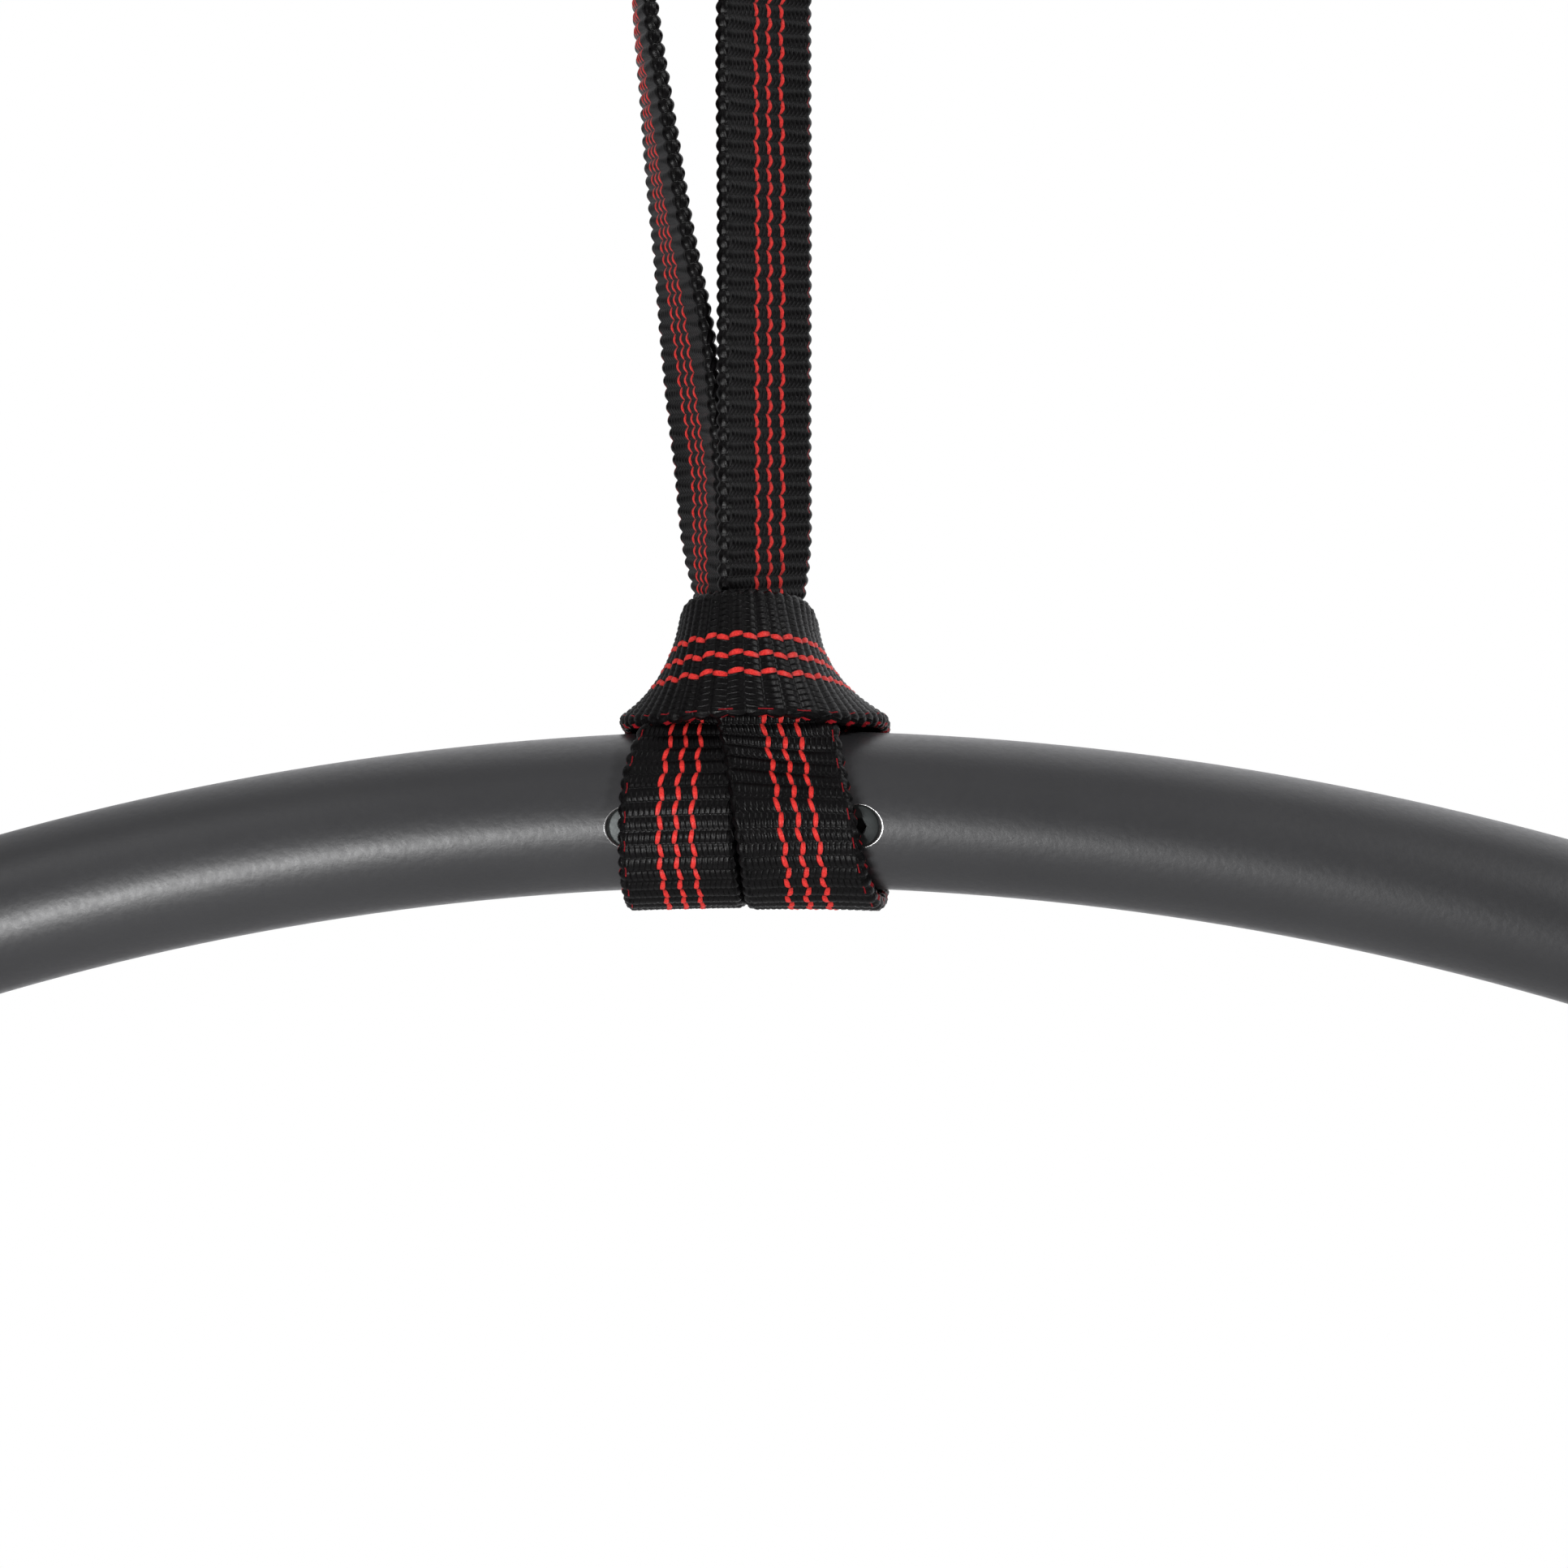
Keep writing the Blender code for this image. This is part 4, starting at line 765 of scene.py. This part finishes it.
def strap_surface(lateral):
    """Middle surface of the strap on an even grid: distance along it, and lateral places in mm."""
    rows = strap_rows()
    steps = np.linalg.norm(np.diff(rows, axis=0), axis=-1).mean(axis=1)
    knots = np.concatenate([[0.0], np.cumsum(steps)])
    dense = np.linspace(0.0, knots[-1], DENSE_PLACES)
    middle = np.einsum("nk,kc->nc", spline_matrix(knots, dense), rows[:, ROW_COLUMNS // 2])
    lengths = np.linalg.norm(np.diff(middle, axis=0), axis=-1)
    travelled = np.concatenate([[0.0], np.cumsum(lengths)])
    count = int(round(travelled[-1] / (RIB_PITCH / RIB_SAMPLES)))
    along = np.linspace(0.0, travelled[-1], count + 1)
    wanted = np.interp(along, travelled, dense)
    coarse = np.einsum("nk,kmc->nmc", spline_matrix(knots, wanted), rows)
    columns = np.linspace(-HALF_WIDTH, HALF_WIDTH, ROW_COLUMNS)
    fine = np.einsum("mk,nkc->nmc", spline_matrix(columns, lateral), coarse)
    return along, fine


def weave_height(along, across):
    """Height in mm of the woven face: ribs across the strap, each a row of slanting warp floats."""
    rib = np.floor(along / RIB_PITCH)
    in_rib = along / RIB_PITCH - rib - 0.5
    side = np.where(rib % 2 < 1, 1.0, -1.0)
    place = (across - RED_MIDDLE - side * (YARN_OFFSET + YARN_SLANT * in_rib)) / COLUMN_PITCH
    column = np.abs(np.round(place))
    local = place - np.round(place)
    is_red = (column <= RED_SPACING) & (column % RED_SPACING == 0)
    cap = np.sqrt(np.clip(1.0 - (local / 0.5) ** 2, 0.0, 1.0))
    bell = np.cos(BELL_SPAN * in_rib) ** BELL_BLUNTNESS
    swell = RIB_SWELL * np.cos(math.pi * in_rib) ** SWELL_BLUNTNESS
    return swell + np.where(is_red, RED_RISE, BLACK_RISE) * cap * bell


def cross_section():
    """Lateral place, share of the face's normal, share sideways, and distance across of each point."""
    flat_front = np.linspace(-EDGE_START, EDGE_START, COLUMN_COUNT * FRONT_SAMPLES + 1)
    flat_back = np.linspace(EDGE_START, -EDGE_START, COLUMN_COUNT * BACK_SAMPLES + 1)
    edge_angle = np.linspace(0.0, math.pi, EDGE_SAMPLES + 2)[1:-1]
    lateral = np.concatenate([flat_front, np.full(EDGE_SAMPLES, EDGE_START), flat_back,
                              np.full(EDGE_SAMPLES, -EDGE_START)])
    lift = np.concatenate([np.ones(len(flat_front)), np.cos(edge_angle), -np.ones(len(flat_back)),
                           -np.cos(edge_angle)])
    side = np.concatenate([np.zeros(len(flat_front)), np.sin(edge_angle), np.zeros(len(flat_back)),
                           -np.sin(edge_angle)])
    rolled = edge_angle * EDGE_RADIUS
    across = np.concatenate([flat_front, EDGE_START + rolled, flat_back, -EDGE_START - rolled[::-1]])
    return lateral, lift, side, across


def make_strap():
    """One closed skin round the strap, which carries its weave in relief and its own coordinates."""
    lateral, lift, side, across = cross_section()
    base = np.linspace(-EDGE_START, EDGE_START, BASE_PLACES)
    along, surface = strap_surface(base)
    tangent = np.gradient(surface, axis=0)
    width = np.gradient(surface, axis=1)
    normal = np.cross(tangent, width)
    normal /= np.linalg.norm(normal, axis=-1, keepdims=True)
    width /= np.linalg.norm(width, axis=-1, keepdims=True)
    pick = (lateral + EDGE_START) / (2.0 * EDGE_START) * (len(base) - 1)
    low = np.clip(np.floor(pick).astype(int), 0, len(base) - 2)
    share = (pick - low)[None, :, None]

    def blend(field):
        return field[:, low] * (1.0 - share) + field[:, low + 1] * share

    centre = blend(surface)
    up = blend(normal)
    out = blend(width)
    depth = HALF_THICKNESS + weave_height(along[:, None], across[None, :])
    direction = up * lift[None, :, None] + out * side[None, :, None]
    points = (centre + direction * depth[:, :, None]) * MM
    points[:, :, 2] += TUBE_TOP_Z
    mesh = grid_mesh("sling_strap", points)
    for name, values in (("along", np.broadcast_to(along[:, None], depth.shape)),
                         ("across", np.broadcast_to(across[None, :], depth.shape))):
        field = mesh.attributes.new(name, "FLOAT", "POINT")
        field.data.foreach_set("value", np.ascontiguousarray(values, dtype=np.float32).reshape(-1))
    item = link_mesh("sling_strap", mesh, WEBBING)
    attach(item, "sling")
    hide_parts("sling_webbing")


# ---------------------------------------------------------------- bar tacks
TACK_HALF_WIDTH = 8.4
TACK_HALF_HEIGHT = 1.4
TACK_STITCHES = 27
STITCH_POINTS = 8
STITCH_RISE = 0.28
TACK_FACE = 1.42
TACK_THREAD = 0.24
THREAD_SIDES = 8
THREAD_REFERENCE = (0.31, 0.23, 0.92)


def tack_path(height):
    """Closed zigzag through both layers: across the outer face and back across the inner one."""
    row = splice_row(height, 0.0)
    centre = row[ROW_COLUMNS // 2]
    width = row[-1] - row[0]
    width /= np.linalg.norm(width)
    outward = np.array([width[1], -width[0], 0.0])
    up = np.array([0.0, 0.0, 1.0])
    path = []
    for face, way in ((TACK_FACE, 1.0), (-SPLICE_LAYER - TACK_FACE, -1.0)):
        for i in range(TACK_STITCHES * STITCH_POINTS + 1):
            share = i / (TACK_STITCHES * STITCH_POINTS)
            phase = (i % STITCH_POINTS) / STITCH_POINTS
            rising = 1.0 if (i // STITCH_POINTS) % 2 == 0 else -1.0
            rise = rising * (2.0 * phase - 1.0) * TACK_HALF_HEIGHT
            arch = STITCH_RISE * (math.sin(math.pi * phase) - 1.0)
            across = way * (2.0 * share - 1.0) * TACK_HALF_WIDTH
            path.append(centre + width * across + up * rise + outward * (face + way * arch))
    return np.array(path)


def thread_mesh(name, path):
    """Round thread along a closed path."""
    along = np.roll(path, -1, axis=0) - np.roll(path, 1, axis=0)
    along /= np.linalg.norm(along, axis=1, keepdims=True)
    side = np.cross(along, np.array(THREAD_REFERENCE))
    side /= np.linalg.norm(side, axis=1, keepdims=True)
    top = np.cross(side, along)
    turn = np.linspace(0.0, math.tau, THREAD_SIDES, endpoint=False)
    ring = (side[:, None, :] * np.cos(turn)[None, :, None]
            + top[:, None, :] * np.sin(turn)[None, :, None])
    points = (path[:, None, :] + ring * TACK_THREAD) * MM
    points[:, :, 2] += TUBE_TOP_Z
    return grid_mesh(name, points, loop=True)


def make_tacks():
    for name in ("splice_tack_lower", "splice_tack_middle", "splice_tack_upper"):
        low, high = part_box(name)
        height = ((low.z + high.z) / 2.0 - TUBE_TOP_Z) / MM
        item = link_mesh(name + "_thread", thread_mesh(name + "_thread", tack_path(height)), THREAD)
        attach(item, "sling")
        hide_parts(name)


# -------------------------------------------------------------------- stage
SOFT_COLOUR = (0.98, 0.98, 1.0, 1.0)
WHITE = (1.0, 1.0, 1.0, 1.0)
# Strength of the soft light by direction: axis, start and end of the change, strengths at its two ends
FROM_BEHIND = ("Y", -0.1, 0.5, 0.08, 1.30)
FROM_ABOVE = ("Z", 0.0, 1.0, 0.0, 0.30)
FROM_LEFT = ("X", -0.42, -0.22, 0.35, 1.0)
FLOOR_RADIUS = 2.0
FLOOR_SIDES = 96
FLOOR_DROP = 0.35
FLOOR_ROUGHNESS = 0.7
FLOOR_SCALE = 3.0
FLOOR_DARK = (0.62, 0.62, 0.62)
FLOOR_LIGHT = (0.66, 0.66, 0.66)
# Lights: name, place from the hitch, size and power
LIGHTS = (
    ("front_low", (-0.27, -0.62, -0.25), (0.36, 0.07), 5.0),
    ("front_right", (1.15, -0.80, 0.80), (0.3, 0.3), 11.0),
    ("upper_left", (-1.2, -0.9, 1.2), (0.9, 0.9), 4.0),
)


def add_area(name, offset, size, power):
    """Rectangular light that faces the hitch."""
    data = bpy.data.lights.new(name, "AREA")
    data.shape = "RECTANGLE"
    data.size, data.size_y = size
    data.energy = power
    light = bpy.data.objects.new(name, data)
    bpy.context.scene.collection.objects.link(light)
    light.location = HITCH + Vector(offset)
    light.rotation_mode = "QUATERNION"
    light.rotation_quaternion = (HITCH - light.location).to_track_quat("-Z", "Y")


def make_world():
    """Soft light that is strongest from behind the object, in front of a plain white background."""
    world = bpy.data.worlds.new("studio")
    bpy.context.scene.world = world
    world.use_nodes = True
    tree = world.node_tree
    ways = tree.nodes.new("ShaderNodeSeparateXYZ")
    tree.links.new(tree.nodes.new("ShaderNodeTexCoord").outputs["Generated"], ways.inputs["Vector"])

    def ramp(axis, *limits):
        node = tree.nodes.new("ShaderNodeMapRange")
        node.interpolation_type = "SMOOTHSTEP"
        tree.links.new(ways.outputs[axis], node.inputs["Value"])
        for key, value in zip(RANGE_KEYS, limits):
            node.inputs[key].default_value = value
        return node.outputs["Result"]

    def combine(operation, first, second):
        node = tree.nodes.new("ShaderNodeMath")
        node.operation = operation
        tree.links.new(first, node.inputs[0])
        tree.links.new(second, node.inputs[1])
        return node.outputs[0]

    strength = combine("ADD", ramp(*FROM_BEHIND), ramp(*FROM_ABOVE))
    strength = combine("MULTIPLY", strength, ramp(*FROM_LEFT))
    soft = tree.nodes["Background"]
    soft.inputs["Color"].default_value = SOFT_COLOUR
    tree.links.new(strength, soft.inputs["Strength"])
    white = tree.nodes.new("ShaderNodeBackground")
    white.inputs["Strength"].default_value = 1.0
    white.inputs["Color"].default_value = WHITE
    path = tree.nodes.new("ShaderNodeLightPath")
    choose = tree.nodes.new("ShaderNodeMixShader")
    tree.links.new(path.outputs["Is Camera Ray"], choose.inputs["Fac"])
    tree.links.new(soft.outputs["Background"], choose.inputs[1])
    tree.links.new(white.outputs["Background"], choose.inputs[2])
    tree.links.new(choose.outputs["Shader"], tree.nodes["World Output"].inputs["Surface"])


def make_floor():
    """Pale round floor under the hoop."""
    shape = bmesh.new()
    bmesh.ops.create_circle(shape, cap_ends=True, segments=FLOOR_SIDES, radius=FLOOR_RADIUS)
    mesh = bpy.data.meshes.new("floor")
    shape.to_mesh(mesh)
    shape.free()
    s = Shader("pale_floor")
    s.set(Roughness=FLOOR_ROUGHNESS)
    s.drive("Base Color", s.mix(s.noise(FLOOR_SCALE), FLOOR_DARK, FLOOR_LIGHT))
    floor = link_mesh("floor", mesh, s.material, smooth=False)
    floor.location.z = cad_low.z - FLOOR_DROP


def make_stage():
    make_world()
    make_floor()
    for light in LIGHTS:
        add_area(*light)


# ----------------------------------------------------------------- hardware
SMOOTH_ANGLE = math.radians(38.0)
FLAT_ANGLE = math.radians(1.0)
MERGE_DISTANCE = 0.002 * MM
RING_EDGE = 0.1 * MM
LOCK_SIDES = 120
LOCK_FLUTES = 20
LOCK_GROOVE = 0.5 * MM
FLUTE_DEPTH = 0.35 * MM
LOCK_BORE = 5.3 * MM
# Lock sleeve: share of its length, how much of the groove's depth it is cut in, and whether fluted
LOCK_PROFILE = (
    (0.0, 1.0, 0.0), (0.03, 0.0, 0.0), (0.14, 0.0, 0.0), (0.17, 1.0, 0.0), (0.20, 1.0, 0.0),
    (0.23, 0.0, 1.0), (0.50, 0.0, 1.0), (0.77, 0.0, 1.0), (0.80, 1.0, 0.0), (0.83, 1.0, 0.0),
    (0.86, 0.0, 0.0), (0.97, 0.0, 0.0), (1.0, 1.0, 0.0))
BEVEL_STEPS = 3
ROUND_SIDES = 128

# Swivel, in millimetres from the middle of its upper eye
EYE_RADIUS = 16.0
EYE_HOLE = 9.0
EYE_NECK_SHARE = 0.72
EYE_HALF_THICKNESS = 5.0
EYE_EDGE = 0.8
EYE_STEPS = 48
UPPER_NECK_Z = -16.75
LOWER_EYE_Z = -62.0
LOWER_NECK_Z = -48.4
HOUSING_PROFILE = (
    (0.0, -14.5), (12.9, -14.5), (13.6, -14.6), (14.3, -14.95), (16.05, -16.7), (16.4, -17.4),
    (16.5, -18.1), (16.5, -21.0), (16.15, -21.2), (16.15, -21.8), (16.5, -22.0), (16.5, -38.0),
    (16.15, -38.2), (16.15, -38.8), (16.5, -39.0), (16.5, -42.1), (16.1, -42.5), (13.5, -42.5),
    (13.2, -42.2), (13.2, -19.0), (0.0, -19.0))
STEM_PROFILE = (
    (0.0, -19.8), (4.7, -19.8), (5.0, -20.1), (5.0, -44.9), (13.1, -44.9), (13.5, -45.3),
    (13.5, -51.3), (12.9, -51.9), (0.0, -51.9))


def fine_copy(name, body, material, edge):
    """Smooth-shaded copy of a piece of hardware with its edges broken, in the piece's own place."""
    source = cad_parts[name]
    shape = bmesh.new()
    shape.from_mesh(source.data)
    bmesh.ops.remove_doubles(shape, verts=shape.verts, dist=MERGE_DISTANCE)
    bmesh.ops.dissolve_limit(shape, angle_limit=FLAT_ANGLE, verts=shape.verts, edges=shape.edges)
    mesh = bpy.data.meshes.new(name + "_fine")
    shape.to_mesh(mesh)
    shape.free()
    item = link_mesh(name + "_fine", mesh, material)
    item.matrix_world = source.matrix_world
    if edge:
        apply_bevel(item, edge)
    finish_hard(item, body)
    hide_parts(name)


def apply_bevel(item, width):
    """Break the sharp edges of a piece at once."""
    step = item.modifiers.new("edge", "BEVEL")
    step.width = width
    step.segments = BEVEL_STEPS
    step.limit_method = "ANGLE"
    step.angle_limit = SMOOTH_ANGLE
    apply_modifiers(item)


def finish_hard(item, body):
    item.data.shade_smooth()
    item.data.set_sharp_from_angle(angle=SMOOTH_ANGLE)
    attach(item, body)


def eye_plate(name, centre_z, neck_z):
    """Flat eye whose sides run in smoothly from the eye's middle to its neck, with a bored hole."""
    turned = 1.0 if neck_z > centre_z else -1.0
    outline = []
    for i in range(EYE_STEPS + 1):
        a = math.pi * i / EYE_STEPS
        outline.append((EYE_RADIUS * math.cos(a), centre_z - turned * EYE_RADIUS * math.sin(a)))
    neck = EYE_RADIUS * EYE_NECK_SHARE
    sides = []
    for i in range(1, EYE_STEPS + 1):
        share = i / EYE_STEPS
        half = neck + (EYE_RADIUS - neck) * (0.5 + 0.5 * math.cos(math.pi * share))
        sides.append((half, centre_z + (neck_z - centre_z) * share))
    outline += [(-x, z) for x, z in sides] + sides[::-1]
    faces = (-EYE_HALF_THICKNESS, EYE_HALF_THICKNESS)
    rings = np.array([[(x, y, z) for x, z in outline] for y in faces])
    item = link_mesh(name, grid_mesh(name, rings * MM), ALLOY)
    bore = EYE_HOLE * MM
    reach = 2.0 * EYE_HALF_THICKNESS * MM
    hole = lathe_cutter([(0.0, -reach), (bore, -reach), (bore, reach), (0.0, reach)], ROUND_SIDES, ALLOY)
    centre = Matrix.Translation((0.0, 0.0, centre_z * MM))
    hole.matrix_world = centre @ Matrix.Rotation(math.pi / 2.0, 4, "X")
    bpy.context.view_layer.update()
    cut(item, [hole])
    apply_bevel(item, EYE_EDGE * MM)
    return item


def make_swivel():
    """Turned housing and stem, each with its eye."""
    for name, body, centre_z, neck_z, profile in (
            ("swivel_upper_eye", "swivel_top", 0.0, UPPER_NECK_Z, HOUSING_PROFILE),
            ("swivel_lower_eye", "swivel_bottom", LOWER_EYE_Z, LOWER_NECK_Z, STEM_PROFILE)):
        plate = eye_plate(name + "_plate", centre_z, neck_z)
        finish_hard(plate, body)
        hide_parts(name)
        profile_m = [(radius * MM, height * MM) for radius, height in profile]
        turned = link_mesh(name + "_turned", lathe_mesh(name + "_turned", profile_m, ROUND_SIDES), ALLOY)
        finish_hard(turned, body)


def make_lock_sleeve():
    """Fluted screw sleeve with plain collars at its ends."""
    low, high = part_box("lock_sleeve")
    centre = (low + high) / 2.0
    outer = (high.x - low.x) / 2.0
    length = high.z - low.z
    turn = np.linspace(0.0, math.tau, LOCK_SIDES, endpoint=False)

    def ring(radius, share):
        x = centre.x + radius * np.cos(turn)
        y = centre.y + radius * np.sin(turn)
        return np.stack([x, y, np.full(LOCK_SIDES, low.z + length * share)], -1)

    rings = []
    for share, grooved, fluted in LOCK_PROFILE:
        flute = fluted * FLUTE_DEPTH * (0.5 - 0.5 * np.cos(LOCK_FLUTES * turn)) ** 2
        rings.append(ring(outer - grooved * LOCK_GROOVE - flute, share))
    rings += [ring(LOCK_BORE, share) for share in (1.0, 0.0)]
    mesh = grid_mesh("lock_sleeve_fluted", np.array(rings), loop=True)
    item = link_mesh("lock_sleeve_fluted", mesh, DARK_ALLOY)
    item.data.set_sharp_from_angle(angle=SMOOTH_ANGLE)
    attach(item, "lock")
    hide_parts("lock_sleeve")


def make_hardware():
    bpy.context.view_layer.update()
    make_swivel()
    fine_copy("carabiner_body", "carabiner", ALLOY, 0.0)
    fine_copy("swivel_retaining_ring", "swivel_top", DARK_ALLOY, RING_EDGE)
    fine_copy("carabiner_gate", "gate", DARK_ALLOY, 0.0)
    make_lock_sleeve()


# ------------------------------------------------------- carried CAD pieces
STEEL_NODES = (
    "joint_sleeve_top", "joint_sleeve_bottom", "gate_hinge_pin", "gate_latch_pin", "gate_plunger",
    "gate_spring", "swivel_shaft_race", "swivel_housing_race", "swivel_ball_cage", "swivel_shaft_nut")


def dress_cad_nodes():
    """Bearing parts, pins and joint sleeves, whose shape is right, in worked steel."""
    for name in STEEL_NODES:
        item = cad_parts[name]
        item.data.materials.clear()
        item.data.materials.append(STEEL)


make_hoop()
make_screws()
make_strap()
make_tacks()
make_hardware()
dress_cad_nodes()
make_stage()
bpy.context.scene.view_settings.view_transform = "Standard"
